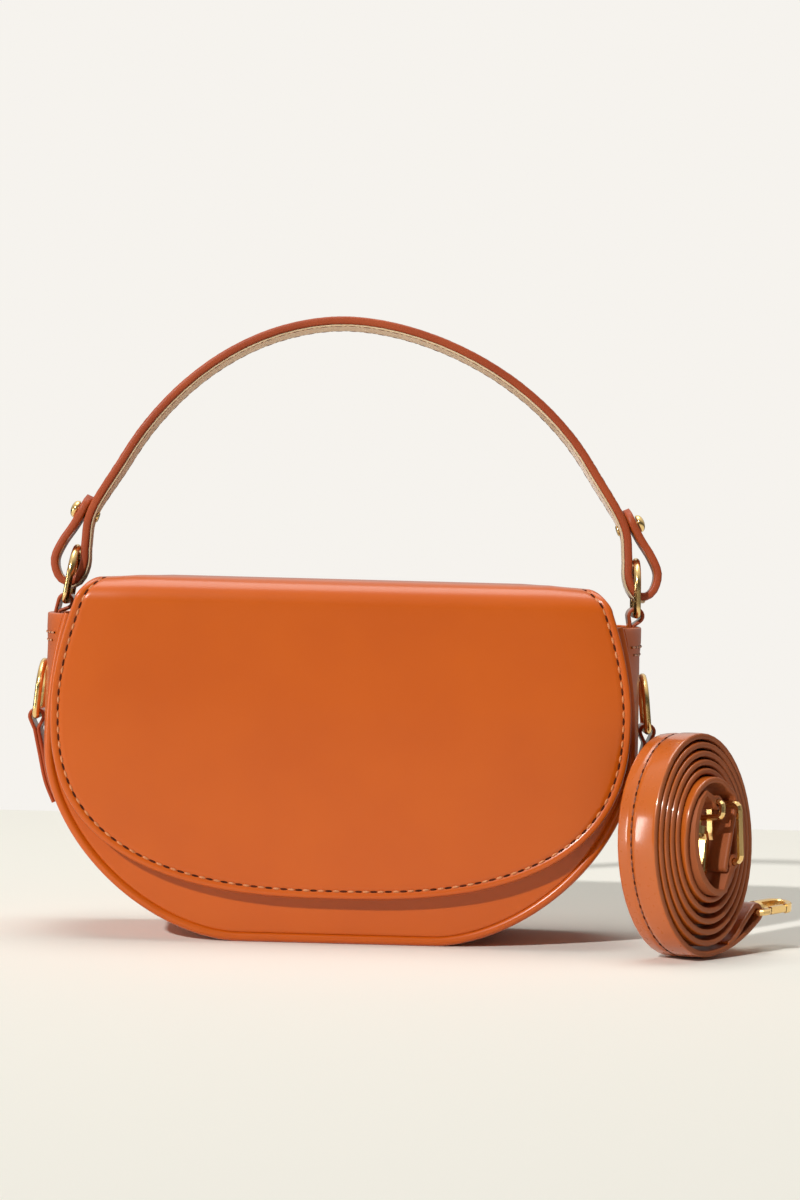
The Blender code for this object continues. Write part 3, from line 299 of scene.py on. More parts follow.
def throughPoints(points, steps):
    # A smooth curve through a few points (Catmull-Rom).
    ends = [2 * points[0] - points[1], *points, 2 * points[-1] - points[-2]]
    path = []
    for i in range(1, len(ends) - 2):
        a, b, c, d = ends[i - 1:i + 3]
        for k in range(steps):
            t = k / steps
            path.append(0.5 * (2 * b + (c - a) * t + (2 * a - 5 * b + 4 * c - d) * t * t
                               + (3 * b - a - 3 * c + d) * t * t * t))
    path.append(points[-1].copy())
    return path


def wrappedGrid(along, around, place, paint=lambda j: 0, closed=False):
    # A grid rolled up into a tube: place(i, j) is the point of station i and section point j.
    shape = bmesh.new()
    ops.create_grid(shape, x_segments=along, y_segments=around, size=0.5)
    for face in shape.faces:
        face.material_index = paint(int((face.calc_center_median().y + 0.5) * around))
    for vert in shape.verts:
        i, j = round((vert.co.x + 0.5) * along), round((vert.co.y + 0.5) * around)
        vert.co = place(i % along if closed else i, j % around)
    ops.remove_doubles(shape, verts=shape.verts[:], dist=1e-7)
    if not closed:
        rims = [edge for edge in shape.edges if edge.is_boundary]
        for cap in ops.holes_fill(shape, edges=rims, sides=0)["faces"]:
            cap.material_index = paint(0)
    ops.recalc_face_normals(shape, faces=shape.faces[:])
    return shape


def tube(path, radius, sides=16, across=depthAxis, closed=False):
    # A round wire or cord along a path that lies in one plane; across is that plane's normal.
    directions = headings(path, closed)
    count = len(path) if closed else len(path) - 1

    def place(i, j):
        side = directions[i].cross(across).normalized()
        angle = 2 * pi * j / sides
        return path[i] + (side * cos(angle) + across * sin(angle)) * radius

    return wrappedGrid(count, sides, place, closed=closed)


def slabSection(halfWidth, low, high, corner, acrossSteps=4, cornerSteps=3, crown=0.0):
    # Points round a strap's cross-section, as (across, up): right edge, high face, left edge, low face.
    radius = min(corner, 0.49 * (high - low))
    right, top, bottom = halfWidth - radius, high - radius, low + radius
    points = []
    for k, (cx, cy) in enumerate(((right, bottom), (right, top), (-right, top), (-right, bottom))):
        for n in range(cornerSteps + 1):
            angle = radians(90 * (k - 1) + 90 * n / cornerSteps)
            points.append((cx + radius * cos(angle), cy + radius * sin(angle)))
        if k in (1, 3):
            for n in range(1, acrossSteps):
                x = right * (1 - 2 * n / acrossSteps) * (1 if k == 1 else -1)
                rise = crown * (1 - (x / halfWidth) ** 2)
                points.append((x, high + rise if k == 1 else low))
    return points


def strapShape(path, sections, across=depthAxis, edgeIndex=1, lowIndex=0, highIndex=0):
    # A strap along a path; sections(i) is its cross-section there, and its edges take their own finish.
    directions = headings(path)
    rows = [sections(i) for i in range(len(path))]
    middle = rows[len(rows) // 2]
    reach = max(w for w, h in middle)
    level = sum(h for w, h in middle) / len(middle)

    def place(i, j):
        up = directions[i].cross(across).normalized()
        w, h = rows[i][j]
        return path[i] + across * w + up * h

    def paint(j):
        (w0, h0), (w1, h1) = middle[j], middle[(j + 1) % len(middle)]
        if abs((w0 + w1) / 2) > reach * 0.94:
            return edgeIndex
        return highIndex if (h0 + h1) / 2 > level else lowIndex

    return wrappedGrid(len(path) - 1, len(middle), place, paint)


def roundTip(distance, halfWidth):
    # How much of its width a strap keeps at a distance from its round end.
    short = max(0.0, 1 - distance / halfWidth)
    return sqrt(max(0.0, 1 - short * short))


def roundEdge(distance, half):
    # How far a sheet's face stands off its middle at a distance from the sheet's round edge.
    short = max(0.0, half - distance)
    return sqrt(max(0.0, half * half - short * short))


def spun(profile, steps=28):
    # A piece turned about its axis from (radius, height) points.
    shape = bmesh.new()
    verts = [shape.verts.new((radius, 0, height)) for radius, height in profile]
    edges = [shape.edges.new(pair) for pair in zip(verts, verts[1:])]
    ops.spin(shape, geom=verts + edges, axis=(0, 0, 1), cent=(0, 0, 0), steps=steps, angle=2 * pi,
                   use_merge=True)
    ops.remove_doubles(shape, verts=shape.verts[:], dist=1e-7)
    ops.recalc_face_normals(shape, faces=shape.faces[:])
    return shape


def sewnLine(shape, holes, normals, width, lift, shadeSpot, slack, stretch, rise, deepest=0.00022):
    # Stitches from hole to hole: a thread that dips at both ends, and at each needle hole a dark spot of
    # painted shade that stands for the shadowed hole and groove.
    for first, second, normal in zip(holes, holes[1:], normals):
        run = second - first
        side = normal.cross(run).normalized()
        up = run.cross(side).normalized()
        turn = Matrix((run.normalized(), side, up)).transposed().to_4x4()
        size = Matrix.Diagonal((run.length * slack / 2, width / 2, width * rise, 1))
        spot = Matrix.Translation((first + second) / 2 + up * lift)
        ops.create_uvsphere(shape, u_segments=8, v_segments=6, radius=1.0, matrix=spot @ turn @ size)
    for hole, normal, heading in zip(holes, normals, headings(holes)):
        side = normal.cross(heading).normalized()
        turn = Matrix((side.cross(normal).normalized(), side, normal)).transposed().to_4x4()
        size = Matrix.Diagonal((shadeSpot * stretch, shadeSpot, min(deepest, width * rise), 1))
        made = ops.create_uvsphere(shape, u_segments=8, v_segments=4, radius=1.0,
                                         matrix=Matrix.Translation(hole) @ turn @ size)
        # The spots take the second finish, the painted shade of the holes.
        for face in {face for vert in made["verts"] for face in vert.link_faces}:
            face.material_index = 1


def sewnAlong(shape, line, look, way):
    # A seam on a strap's upper face, or on its lower one where way is -1.
    holes = evenPath(line, look["stitchLength"])
    normals = [along.cross(depthAxis).normalized() * way for along in headings(holes)]
    sewnLine(shape, holes, normals, **look["seam"])


def mergedNode(name):
    # A copy of a CAD node's mesh, whose loose triangles are joined.
    shape = bmesh.new()
    shape.from_mesh(nodes[name].data)
    ops.remove_doubles(shape, verts=shape.verts[:], dist=mergeGap)
    return shape


def softenedNode(name, edge):
    # The same with whole flat faces and soft edges.
    shape = mergedNode(name)
    ops.dissolve_limit(shape, angle_limit=radians(1), verts=shape.verts[:], edges=shape.edges[:])
    sharp = [e for e in shape.edges if len(e.link_faces) == 2 and e.calc_face_angle() > radians(35)]
    ops.bevel(shape, geom=sharp, offset=edge, segments=2, profile=0.5, affect="EDGES", material=-1,
                    clamp_overlap=True)
    return shape


def edgeDistance(point, outline):
    # Distance from a flat point to an open line of flat points.
    least = 1.0
    for first, second in zip(outline, outline[1:]):
        run = second - first
        share = min(1.0, max(0.0, (point - first).dot(run) / max(run.length_squared, 1e-18)))
        least = min(least, (first + run * share - point).length)
    return least


def gridLines(first, last):
    return [n * gridStep for n in range(first, last + 1)]


def sliced(shape, point, normal, **cleared):
    ops.bisect_plane(shape, geom=shape.verts[:] + shape.edges[:] + shape.faces[:], dist=1e-6,
                           plane_co=point, plane_no=normal, **cleared)


def cutSheet(outline, insets, cutsAcross, cutsUp):
    # A flat sheet in the X-Y plane with rings that follow its outline, sliced across and up.
    shape = bmesh.new()
    face = shape.faces.new([shape.verts.new((p.x, p.y, 0)) for p in outline])
    before = 0.0
    for inset in insets:
        ops.inset_region(shape, faces=[face], thickness=inset - before, use_even_offset=True,
                               use_boundary=True)
        before = inset
    for x in cutsAcross:
        sliced(shape, (x, 0, 0), (1, 0, 0))
    for y in cutsUp:
        sliced(shape, (0, y, 0), (0, 1, 0))
    return shape


def shellFromSheet(sheet, outline, frontPlace, backPlace):
    # Two copies of the flat sheet, one for each face, that meet along the outline.
    back = ops.duplicate(sheet, geom=sheet.verts[:] + sheet.edges[:] + sheet.faces[:])
    backVerts = {v for v in back["geom"] if isinstance(v, bmesh.types.BMVert)}
    for vert in sheet.verts:
        flat = vert.co.copy()
        place = backPlace if vert in backVerts else frontPlace
        vert.co = place(flat.x, flat.y, edgeDistance(flat, outline))
    ops.remove_doubles(sheet, verts=sheet.verts[:], dist=mergeGap)
    rims = [edge for edge in sheet.edges if edge.is_boundary]
    if rims:
        ops.holes_fill(sheet, edges=rims, sides=0)
    ops.recalc_face_normals(sheet, faces=sheet.faces[:])
    return sheet


# The body of the bag.

bag = dict(
    halfWidth=0.1136, sideHalfWidth=0.1161, baseHalfWidth=0.038, shoulder=0.072,
    gussetHeight=0.124, panelHeight=0.129, depth=0.066, roundness=1.75,
    topNarrowing=0.0076, narrowingPower=2.4, panelThickness=0.0018, pipingRadius=0.0019,
    gussetThickness=0.0018, swellStart=0.012, swellPower=2.4, crown=0.0006, crownReach=0.03,
    seamOverlap=0.0004, pathStep=0.003, gussetSteps=18,
    panelRings=(0.0002, 0.0005, 0.0009, 0.0016, 0.0026), plainCorner=0.003, beyondTop=0.005,
    hem=0.008, hemThickness=0.0005, hemBlend=0.0015, hemRound=0.0006,
    hemRows=((0.0075, 0.0, -0.00052), (0.0105, 0.5, -0.0001)),  # drop, shift along the row and inset
    hemHoles=12, hemReach=0.9,
    seam=dict(width=0.0008, lift=0.00005, shadeSpot=0.0005, slack=0.86, stretch=1.7, rise=0.42),
)
sides = (("front", -1), ("back", 1))
pipingDepth = bag["depth"] / 2 - 0.75 * bag["pipingRadius"]
gussetHalfDepth = pipingDepth - bag["pipingRadius"] * 0.7


def upperHalfWidth(height):
    share = max(0.0, height - bag["shoulder"]) / (bag["panelHeight"] - bag["shoulder"])
    return bag["halfWidth"] - bag["topNarrowing"] * share ** bag["narrowingPower"]


def halfMoon(inset, top, roundSteps=44, upperSteps=14):
    # From the left top, round the base, to the right top.
    base, shoulder, power = bag["baseHalfWidth"], bag["shoulder"], 2 / bag["roundness"]
    drawn = [Vector((-base, 0, 0)), Vector((base, 0, 0))]
    for i in range(1, roundSteps + 1):
        angle = pi / 2 * i / roundSteps
        down = cos(angle) ** power if i < roundSteps else 0.0
        drawn.append(Vector((base + (bag["halfWidth"] - base) * sin(angle) ** power, 0, shoulder * (1 - down))))
    for i in range(1, upperSteps + 1):
        height = shoulder + (bag["panelHeight"] + bag["beyondTop"] - shoulder) * i / upperSteps
        drawn.append(Vector((upperHalfWidth(height), 0, height)))
    half = []
    for point, along in list(zip(drawn, headings(drawn)))[1:]:
        inner = point + leftOf(along) * inset
        if inner.z >= top:
            half.append(half[-1].lerp(inner, (top - half[-1].z) / (inner.z - half[-1].z)))
            break
        half.append(inner)
    return mirrored(half) + half


def makePanel(word, side):
    half = bag["panelThickness"] / 2
    top = bag["panelHeight"]
    line = [Vector((p.x, p.z, 0)) for p in halfMoon(2 * bag["pipingRadius"] - bag["seamOverlap"], top)]
    # The rings need corners without crowded points beside them.
    line = [line[0]] + [p for p in line[1:-1] if p.y < top - bag["plainCorner"]] + [line[-1]]
    sheet = cutSheet(line, bag["panelRings"], gridLines(-10, 10), gridLines(1, 12))

    def face(way, crown):
        def place(x, y, distance):
            lift = roundEdge(distance, half) * way
            swell = crown * smoothShare(distance / bag["crownReach"])
            return Vector((x, side * (bag["depth"] / 2 - half + lift + swell), y))
        return place

    shape = shellFromSheet(sheet, line + [line[0]], face(1, bag["crown"]), face(-1, 0.0))
    makePiece(word + "PanelLeather", shape, [flapLeather], "bag", [word + "_panel"])


def swellAt(point):
    if point.z >= bag["shoulder"]:
        return bag["sideHalfWidth"] - upperHalfWidth(point.z)
    share = (point.z - bag["swellStart"]) / (bag["shoulder"] - bag["swellStart"])
    return (bag["sideHalfWidth"] - bag["halfWidth"]) * smoothShare(share)


def gussetPoint(point, along, share, inset):
    inward = leftOf(along)
    outward = -inward if point.z < bag["shoulder"] else Vector((copysign(1, point.x), 0, 0))
    place = point + outward * swellAt(point) * (1 - abs(share) ** bag["swellPower"]) + inward * inset
    return Vector((place.x, gussetHalfDepth * share, place.z))


def makeGusset():
    top = bag["gussetHeight"]
    outline = evenPath(halfMoon(0, top), bag["pathStep"])
    directions = headings(outline)
    shares = [-1 + 2 * n / bag["gussetSteps"] for n in range(bag["gussetSteps"] + 1)]
    ring = [(share, 0.0) for share in shares] + [(share, bag["gussetThickness"]) for share in reversed(shares)]
    last = len(outline) - 1

    def place(i, j):
        share, inset = ring[j]
        if inset == 0:
            # The folded hem is thicker.
            below = top - outline[i].z - bag["hem"]
            inset -= bag["hemThickness"] * (1 - smoothShare(below / bag["hemBlend"]))
        spot = gussetPoint(outline[i], directions[i], share, inset)
        if i in (0, last):
            spot.z = top
        return spot

    shape = wrappedGrid(last, len(ring), place)
    rims = [e for e in shape.edges if all(abs(v.co.z - top) < 1e-6 for v in e.verts)
            and e.calc_face_angle(0) > radians(50)]
    ops.bevel(shape, geom=rims, offset=bag["hemRound"], segments=3, profile=0.5, affect="EDGES",
                    material=-1)
    makePiece("gussetLeather", shape, [flapLeather], "bag", ["gusset"], 50)

    stitches = bmesh.new()
    for side in (-1, 1):
        for drop, shift, inset in bag["hemRows"]:
            base = Vector((side * upperHalfWidth(top - drop), 0, top - drop))
            shares = [-bag["hemReach"] + 2 * bag["hemReach"] * (n + shift) / bag["hemHoles"]
                      for n in range(bag["hemHoles"])]
            holes = [gussetPoint(base, Vector((0, 0, side)), share, inset) for share in shares]
            sewnLine(stitches, holes, [Vector((side, 0, 0))] * len(holes), **bag["seam"])
    makePiece("hemStitches", stitches, [thread, holeShade], "bag")


def makePiping(word, side):
    path = [Vector((p.x, side * pipingDepth, p.z)) for p in halfMoon(bag["pipingRadius"], bag["gussetHeight"])]
    shape = tube(evenPath(path, bag["pathStep"]), bag["pipingRadius"], 14)
    makePiece(word + "PipingCord", shape, [flapLeather], "bag", [word + "_piping"], 60)


for word, side in sides:
    makePanel(word, side)
makeGusset()
for word, side in sides:
    makePiping(word, side)
print("body made")

# Lining and pocket.

for node, name in (("lining", "bagLining"), ("slip_pocket", "slipPocket")):
    makePiece(name, mergedNode(node), [liningCloth], "bag", [node], 30)
print("lining made")

# The flap.

flap = dict(
    halfWidth=0.111, bendHalfWidth=0.103, neckHalfWidth=0.095, rootHalfWidth=0.089,
    bottom=0.018, wideHeight=0.090, roundness=2.6, neckPower=1.7, cornerPower=1.5,
    topHeight=0.1386, thickness=0.0019, offset=0.0406, slope=0.0012, bend=0.009,
    frontHinge=0.027, backHinge=0.026, backBend=0.008, rootBottom=0.104, rootCorner=0.008,
    rootGap=0.002, roundSteps=60, padding=0.0009, paddingReach=0.012,
    beyond=0.02, cutClear=0.0005, endClear=0.002,  # past the middle of the flat top, and without cuts
    rings=(0.0002, 0.0006, 0.0012, 0.0020, 0.0024, 0.0027, 0.0030, 0.0033, 0.0036, 0.0042, 0.0053),
    stitchInset=0.003, stitchLength=0.0057, stitchLift=0.00012, groove=0.00045, grooveWidth=0.0006,
    seamMiddle=0.001, seamGap=0.003,
    seam=dict(width=0.0009, lift=0.00008, shadeSpot=0.00048, slack=0.46, stretch=3.0, rise=0.42),
)
bendHeight = flap["topHeight"] - flap["bend"]


def flapHalfWidth(height):
    wide, power, corner = flap["wideHeight"], flap["roundness"], flap["cornerPower"]
    if height < wide:
        down = (wide - height) / (wide - flap["bottom"])
        return flap["halfWidth"] * max(0.0, 1 - down ** power) ** (1 / power)
    up = min(1.0, (height - wide) / (bendHeight - wide))
    half = flap["halfWidth"] - (flap["halfWidth"] - flap["bendHalfWidth"]) * up ** flap["neckPower"]
    bent = min(1.0, max(0.0, height - bendHeight) / flap["bend"])
    left = max(0.0, 1 - bent ** corner) ** (1 / corner)
    return half - (flap["bendHalfWidth"] - flap["neckHalfWidth"]) * (1 - left)


def flapProfile():
    # From the flap's lowest point over the top to its root: (depth, height, half width) on the outer face.
    bottom, wide, steps = flap["bottom"], flap["wideHeight"], flap["roundSteps"]
    bend, backBend, corner = flap["bend"], flap["backBend"], flap["rootCorner"]
    neck, root, lowest = flap["neckHalfWidth"], flap["rootHalfWidth"], flap["rootBottom"]
    heights = []
    for i in range(steps + 1):
        down = cos(pi / 2 * i / steps) ** (2 / flap["roundness"]) if i < steps else 0.0
        heights.append(wide - (wide - bottom) * down)
    heights += [wide + (bendHeight - wide) * i / 12 for i in range(1, 13)]
    rows = [(-flap["offset"] + flap["slope"] * (height - bottom) / (bendHeight - bottom), height,
             flapHalfWidth(height)) for height in heights]
    topDepth = -(flap["offset"] - flap["slope"])
    for sine, cosine in quarterTurn(16):
        height = bendHeight + bend * sine
        rows.append((topDepth + bend * (1 - cosine), height, flapHalfWidth(height)))
    for i in range(17):
        depth = -flap["frontHinge"] + (flap["frontHinge"] + flap["backHinge"]) * (i / 16)
        rows.append((depth, flap["topHeight"], neck + (root - neck) * (i / 16)))
    anchor = bag["depth"] / 2 + flap["rootGap"]
    backHeight = flap["topHeight"] - backBend
    rows += [(anchor - backBend + backBend * sine, backHeight + backBend * cosine, root)
             for sine, cosine in quarterTurn(12)]
    rows += [(anchor, backHeight + (lowest + corner - backHeight) * i / 4, root) for i in range(1, 5)]
    rows += [(anchor, lowest + corner * (1 - sine), root - corner * (1 - cosine))
             for sine, cosine in quarterTurn(8)]
    return rows


profile = flapProfile()
lengths = [0.0]
for first, second in zip(profile, profile[1:]):
    lengths.append(lengths[-1] + hypot(second[0] - first[0], second[1] - first[1]))


def lengthAtDepth(depth):
    # Where along the profile the flat top passes a depth.
    for i, (first, second) in enumerate(zip(profile, profile[1:])):
        if first[1] > flap["topHeight"] - 1e-6 and first[0] <= depth <= second[0]:
            share = (depth - first[0]) / (second[0] - first[0])
            return lengths[i] + share * (lengths[i + 1] - lengths[i])
    return lengths[-1]


def profileAt(length):
    # Point and outward normal of the flap's outer face at a length along its profile.
    k = 0
    while k < len(lengths) - 2 and lengths[k + 1] < length:
        k += 1
    step = lengths[k + 1] - lengths[k]
    share = (length - lengths[k]) / step if step else 0.0

    def along(i):
        before, after = profile[max(0, i - 1)], profile[min(len(profile) - 1, i + 1)]
        return Vector((0, after[0] - before[0], after[1] - before[1])).normalized()

    heading = along(k).lerp(along(k + 1), min(1.0, max(0.0, share)))
    first, second = profile[k], profile[k + 1]
    point = Vector((0, first[0] + (second[0] - first[0]) * share, first[1] + (second[1] - first[1]) * share))
    return point, Vector((0, -heading.z, heading.y)).normalized()


def flapPlace(x, length, lift):
    point, normal = profileAt(length)
    return point + normal * lift + Vector((x, 0, 0))


def flapLift(distance):
    # The outer face: a round edge, the groove of the seam, and the padded middle.
    half = flap["thickness"] / 2
    lift = roundEdge(distance, half) - half
    lift -= flap["groove"] * exp(-((distance - flap["stitchInset"]) / flap["grooveWidth"]) ** 2)
    return lift + flap["padding"] * smoothShare((distance - flap["stitchInset"]) / flap["paddingReach"])


def flapOuter(x, length, distance):
    return flapPlace(x, length, flapLift(distance))


def flapInner(x, length, distance):
    half = flap["thickness"] / 2
    return flapPlace(x, length, -half - roundEdge(distance, half))


outerLine = [Vector((row[2], length, 0)) for length, row in zip(lengths, profile)]
middle = lengthAtDepth(0.0)
beyond = Vector((0, flap["beyond"], 0))


def makeFlapOver():
    right = [p.copy() for p, length in zip(outerLine, lengths) if length <= middle]
    right[-1].y = middle
    left = mirrored(right)
    edge = [right[-1] + beyond, *right[::-1], *left[::-1], left[0] + beyond]
    cuts = [length for length in lengths[flap["roundSteps"]:] if length < middle - flap["cutClear"]]
    sheet = cutSheet(right + left[:-1], flap["rings"], gridLines(-11, 11), cuts)
    shape = shellFromSheet(sheet, edge, flapOuter, flapInner)
    piece = makePiece("flapLeather", shape, [flapLeather], None, ["flap_front", "flap_top"], 60)
    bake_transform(piece)


def makeFlapBack():
    # The rings would also run along the cut end on the top, so the sheet is drawn longer and trimmed.
    k = max(i for i, length in enumerate(lengths) if length <= middle)
    share = (middle - lengths[k]) / (lengths[k + 1] - lengths[k])
    start = Vector((profile[k][2] + (profile[k + 1][2] - profile[k][2]) * share, middle, 0))
    right = [Vector((start.x, middle - flap["beyond"], 0)), start, *outerLine[k + 1:]]
    line = right + mirrored(right)
    cuts = [length for length in lengths if middle + flap["cutClear"] < length < lengths[-1] - flap["endClear"]]
    sheet = cutSheet(line, flap["rings"], gridLines(-9, 9), cuts)
    sliced(sheet, (0, middle, 0), (0, 1, 0), clear_inner=True)
    shape = shellFromSheet(sheet, line, flapOuter, flapInner)
    piece = makePiece("flapRootLeather", shape, [flapLeather], None, ["flap_root", "flap_top"], 60)
    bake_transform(piece)


def makeFlapStitches():
    # One line along the flap's edge, cut at the folds so that each part rides on its own body.
    inset, pitch = flap["stitchInset"], flap["stitchLength"]
    low = lengths[-1] - inset
    inner = [Vector((0, inset, 0))]
    for point, along in zip(outerLine, headings(outerLine)):
        moved = point + Vector((-along.y, along.x, 0)) * inset
        if moved.x > flap["seamMiddle"] and moved.y > inset:
            inner.append(moved)
    holes = evenPath([p for p in mirrored(inner[1:]) + inner if p.y < low], pitch)
    lift = flapLift(inset) + flap["stitchLift"]

    def sew(stitches, run):
        spots, normals = [flapPlace(p.x, p.y, lift) for p in run], [profileAt(p.y)[1] for p in run]
        sewnLine(stitches, spots, normals, **flap["seam"])

    foldAt, backAt = lengthAtDepth(-flap["frontHinge"] - flap["seamGap"]), lengthAtDepth(flap["backHinge"])
    for name, body, start, stop in (("flapFrontStitches", "flap_over_front", 0.0, foldAt),
                                    ("flapTopStitches", "flap_over_top", foldAt, backAt),
                                    ("flapRootStitches", "bag", backAt, low)):
        runs = [[]]
        for hole in holes:
            if start <= hole.y < stop:
                if runs[-1] and (hole - runs[-1][-1]).length > pitch * 1.5:
                    runs.append([])
                runs[-1].append(hole)
        stitches = bmesh.new()
        for run in runs:
            if len(run) > 1:
                sew(stitches, run)
        makePiece(name, stitches, [thread, holeShade], body)
    # The last row runs across the root's lower edge.
    across = bmesh.new()
    reach = flap["rootHalfWidth"] - flap["rootCorner"]
    sew(across, evenPath([Vector((-reach, low, 0)), Vector((reach, low, 0))], pitch))
    makePiece("flapRootSeam", across, [thread, holeShade], "bag")


makeFlapOver()
makeFlapBack()
makeFlapStitches()
for name, body, node in (("flapFrontLining", "flap_over_front", "flap_front_lining"),
                         ("flapTopLining", "flap_over_top", "flap_top_lining")):
    makePiece(name, softenedNode(node, 0.0002), [liningCloth], body, [node], 50)
print("flap made")

# The handle.

handle = dict(
    pivotHeight=0.1393, rise=0.1022, legShare=0.43, span=0.1054, roundness=1.87, skew=0.006,
    skewPower=4, lean=radians(4), halfWidth=0.009, endHalfWidth=0.0054, taperLow=0.014,
    taperHigh=0.044, thickness=0.003, shift=0.004, liningThickness=0.0007, liningSetback=0.001,
    liningGap=0.00005, liningRound=0.0003, rivetShare=0.222, legPlace=0.1064, pathStep=0.0022, tipShare=0.12,
    edgeRound=0.0009, crown=0.00025, stitchInset=0.0021, stitchLength=0.0056, sewnFrom=0.27,
    seamAbove=0.0001, seamBelow=0.00008,
    seam=dict(width=0.0007, lift=0.00004, shadeSpot=0.0003, slack=0.55, stretch=2.0, rise=0.12),
)
rivet = dict(  # outlines as (radius, height) from the leather's two faces
    shank=0.0011, footGap=0.0011, dome=(0.0034, 0.0019), domeSteps=7,
    foot=((0, -0.0007), (0.0017, -0.0007), (0.0021, -0.0005), (0.0022, -0.0002), (0.0022, 0)),
    head=((0.0033, 0), (0.0035, 0.0003), (0.00345, 0.0009)),
)
endShares = ((0.985, 0.56), (1.004, 0.27), (1.006, 0.09), (1.028, -0.045), (1.063, -0.0845),
             (1.099, -0.03), (1.115, 0.12), (1.090, 0.275), (1.051, 0.42), (1.0185, 0.56), (0.992, 0.70))
handlePlace = (Matrix.Translation((handle["shift"], 0, handle["pivotHeight"]))
               @ Matrix.Rotation(-handle["lean"], 4, "X"))


def handleArch(steps=30):
    power = 2 / handle["roundness"]
    low = asin(handle["legShare"] ** (1 / power))
    points = []
    for i in range(steps + 1):
        angle = low + (pi - 2 * low) * i / steps
        height = handle["rise"] * sin(angle) ** power
        out = -copysign(abs(cos(angle)) ** power, cos(angle)) * handle["span"]
        skew = handle["skew"] * (height / handle["rise"]) ** handle["skewPower"]
        points.append(Vector((out - skew, 0, height)))
    return points


def handleEnd(side):
    top = handle["rise"] * handle["legShare"]
    return [Vector((side * handle["legPlace"] * out, 0, top * up)) for out, up in endShares]


def handleHalfWidth(height):
    share = smoothShare((height - handle["taperLow"]) / (handle["taperHigh"] - handle["taperLow"]))
    return handle["endHalfWidth"] + (handle["halfWidth"] - handle["endHalfWidth"]) * share


def makeRivet(word, side, archEnd, half):
    height = handle["rise"] * handle["rivetShare"]
    line = throughPoints([archEnd] + handleEnd(side), 12)
    turn = min(range(len(line)), key=lambda i: line[i].z)
    inner = min(line[:turn], key=lambda p: abs(p.z - height))
    outer = min(line[turn:], key=lambda p: abs(p.z - height))
    at = line.index(inner)
    along = (line[at + 1] - line[at - 1]).normalized()
    outward = leftOf(along)
    if outward.x * side < 0:
        outward = -outward
    place = handlePlace @ Matrix.Translation(inner) @ outward.to_track_quat("Z", "Y").to_matrix().to_4x4()
    under = half + rivet["footGap"]
    over = (outer - inner).dot(outward) + half + clearance
    outline = [(radius, rise - under) for radius, rise in (*rivet["foot"], (rivet["shank"], 0.0))]
    outline += [(radius, over + rise) for radius, rise in ((rivet["shank"], 0.0), *rivet["head"])]
    radius, rise = rivet["dome"]
    base = outline[-1][1]
    outline += [(radius * cosine, base + rise * sine) for sine, cosine in quarterTurn(rivet["domeSteps"])]
    outline[-1] = (0, outline[-1][1])
    makePiece(word + "RivetDome", spun(outline), [gold], "handle", [word + "_rivet"], place=place)


def makeHandle():
    arch = handleArch()
    left = throughPoints([arch[0]] + handleEnd(-1), 6)[1:]
    right = throughPoints([arch[-1]] + handleEnd(1), 6)[1:]
    whole = evenPath(left[::-1] + arch + right, handle["pathStep"])
    half = handle["thickness"] / 2
    spacing = (whole[1] - whole[0]).length
    last = len(whole) - 1

    def section(i):
        wide = handleHalfWidth(whole[i].z)
        wide *= max(handle["tipShare"], roundTip(min(i, last - i) * spacing, wide))
        return slabSection(wide, -half, half, handle["edgeRound"], crown=handle["crown"])

    shape = strapShape(whole, section, lowIndex=2)
    makePiece("handleLeather", shape, [strapLeather, paintedEdge, paintedEdge], "handle",
              ["handle_strap"], place=handlePlace)

    # Suede under the arch and down the inside of the loops.
    lowest = [min((p.z, i) for i, p in enumerate(whole) if p.x * side > 0)[1] for side in (-1, 1)]
    cover = whole[lowest[0]:lowest[1] + 1]
    high = -half - handle["liningGap"]

    def liningSection(i):
        wide = handleHalfWidth(cover[i].z) - handle["liningSetback"]
        return slabSection(wide, high - handle["liningThickness"], high, handle["liningRound"], cornerSteps=2)

    shape = strapShape(cover, liningSection, edgeIndex=0)
    makePiece("handleSuede", shape, [suede], "handle", ["handle_lining"], place=handlePlace)

    stitches = bmesh.new()
    stretch = [p for p in cover if p.z > handle["rise"] * handle["sewnFrom"]]
    under = -half - handle["liningThickness"] - handle["seamBelow"]
    for way, level in ((1, half + handle["seamAbove"]), (-1, under)):
        for side in (-1, 1):
            line = []
            for point, along in zip(stretch, headings(stretch)):
                edge = handleHalfWidth(point.z) - handle["stitchInset"]
                line.append(point + along.cross(depthAxis).normalized() * level + Vector((0, side * edge, 0)))
            sewnAlong(stitches, line, handle, way)
    makePiece("handleStitches", stitches, [darkThread, holeShade], "handle", place=handlePlace)

    makeRivet("left", -1, arch[0], half)
    makeRivet("right", 1, arch[-1], half)


makeHandle()
print("handle made")

# Rings and their tabs.

ring = dict(radius=0.009, wire=0.0014, leg=0.0106, corner=0.0025, topPlace=0.1101,
        leftBar=-0.1094, rightBar=0.1143, sideBarHeight=0.0834, pathStep=0.0012)
tab = dict(halfWidth=0.007, leather=0.0013, loop=0.0034, drop=0.005, rise=0.0004, opening=25,
       handleTongue=0.018, sideTongue=0.027, gap=0.00045, plyGap=0.00002, edgeRound=0.0006,
       pathStep=0.001)
barHeight = handle["pivotHeight"] - ring["leg"]
barAboveLoop = tab["loop"] - tab["leather"] - ring["wire"] - clearance
ringHeight = ring["leg"] + ring["radius"] + ring["wire"]


def ringOutline(archSteps=28, cornerSteps=6):
    radius = ring["radius"] + ring["wire"]
    angles = [pi * i / archSteps for i in range(archSteps + 1)]
    points = [(radius * cos(angle), ring["leg"] + radius * sin(angle)) for angle in angles]
    for sign in (-1, 1):
        for i in range(cornerSteps + 1):
            angle = pi * (1 if sign < 0 else 1.5) + pi / 2 * i / cornerSteps
            points.append((sign * (radius - ring["corner"]) + ring["corner"] * cos(angle),
                           ring["corner"] + ring["corner"] * sin(angle)))
    return points


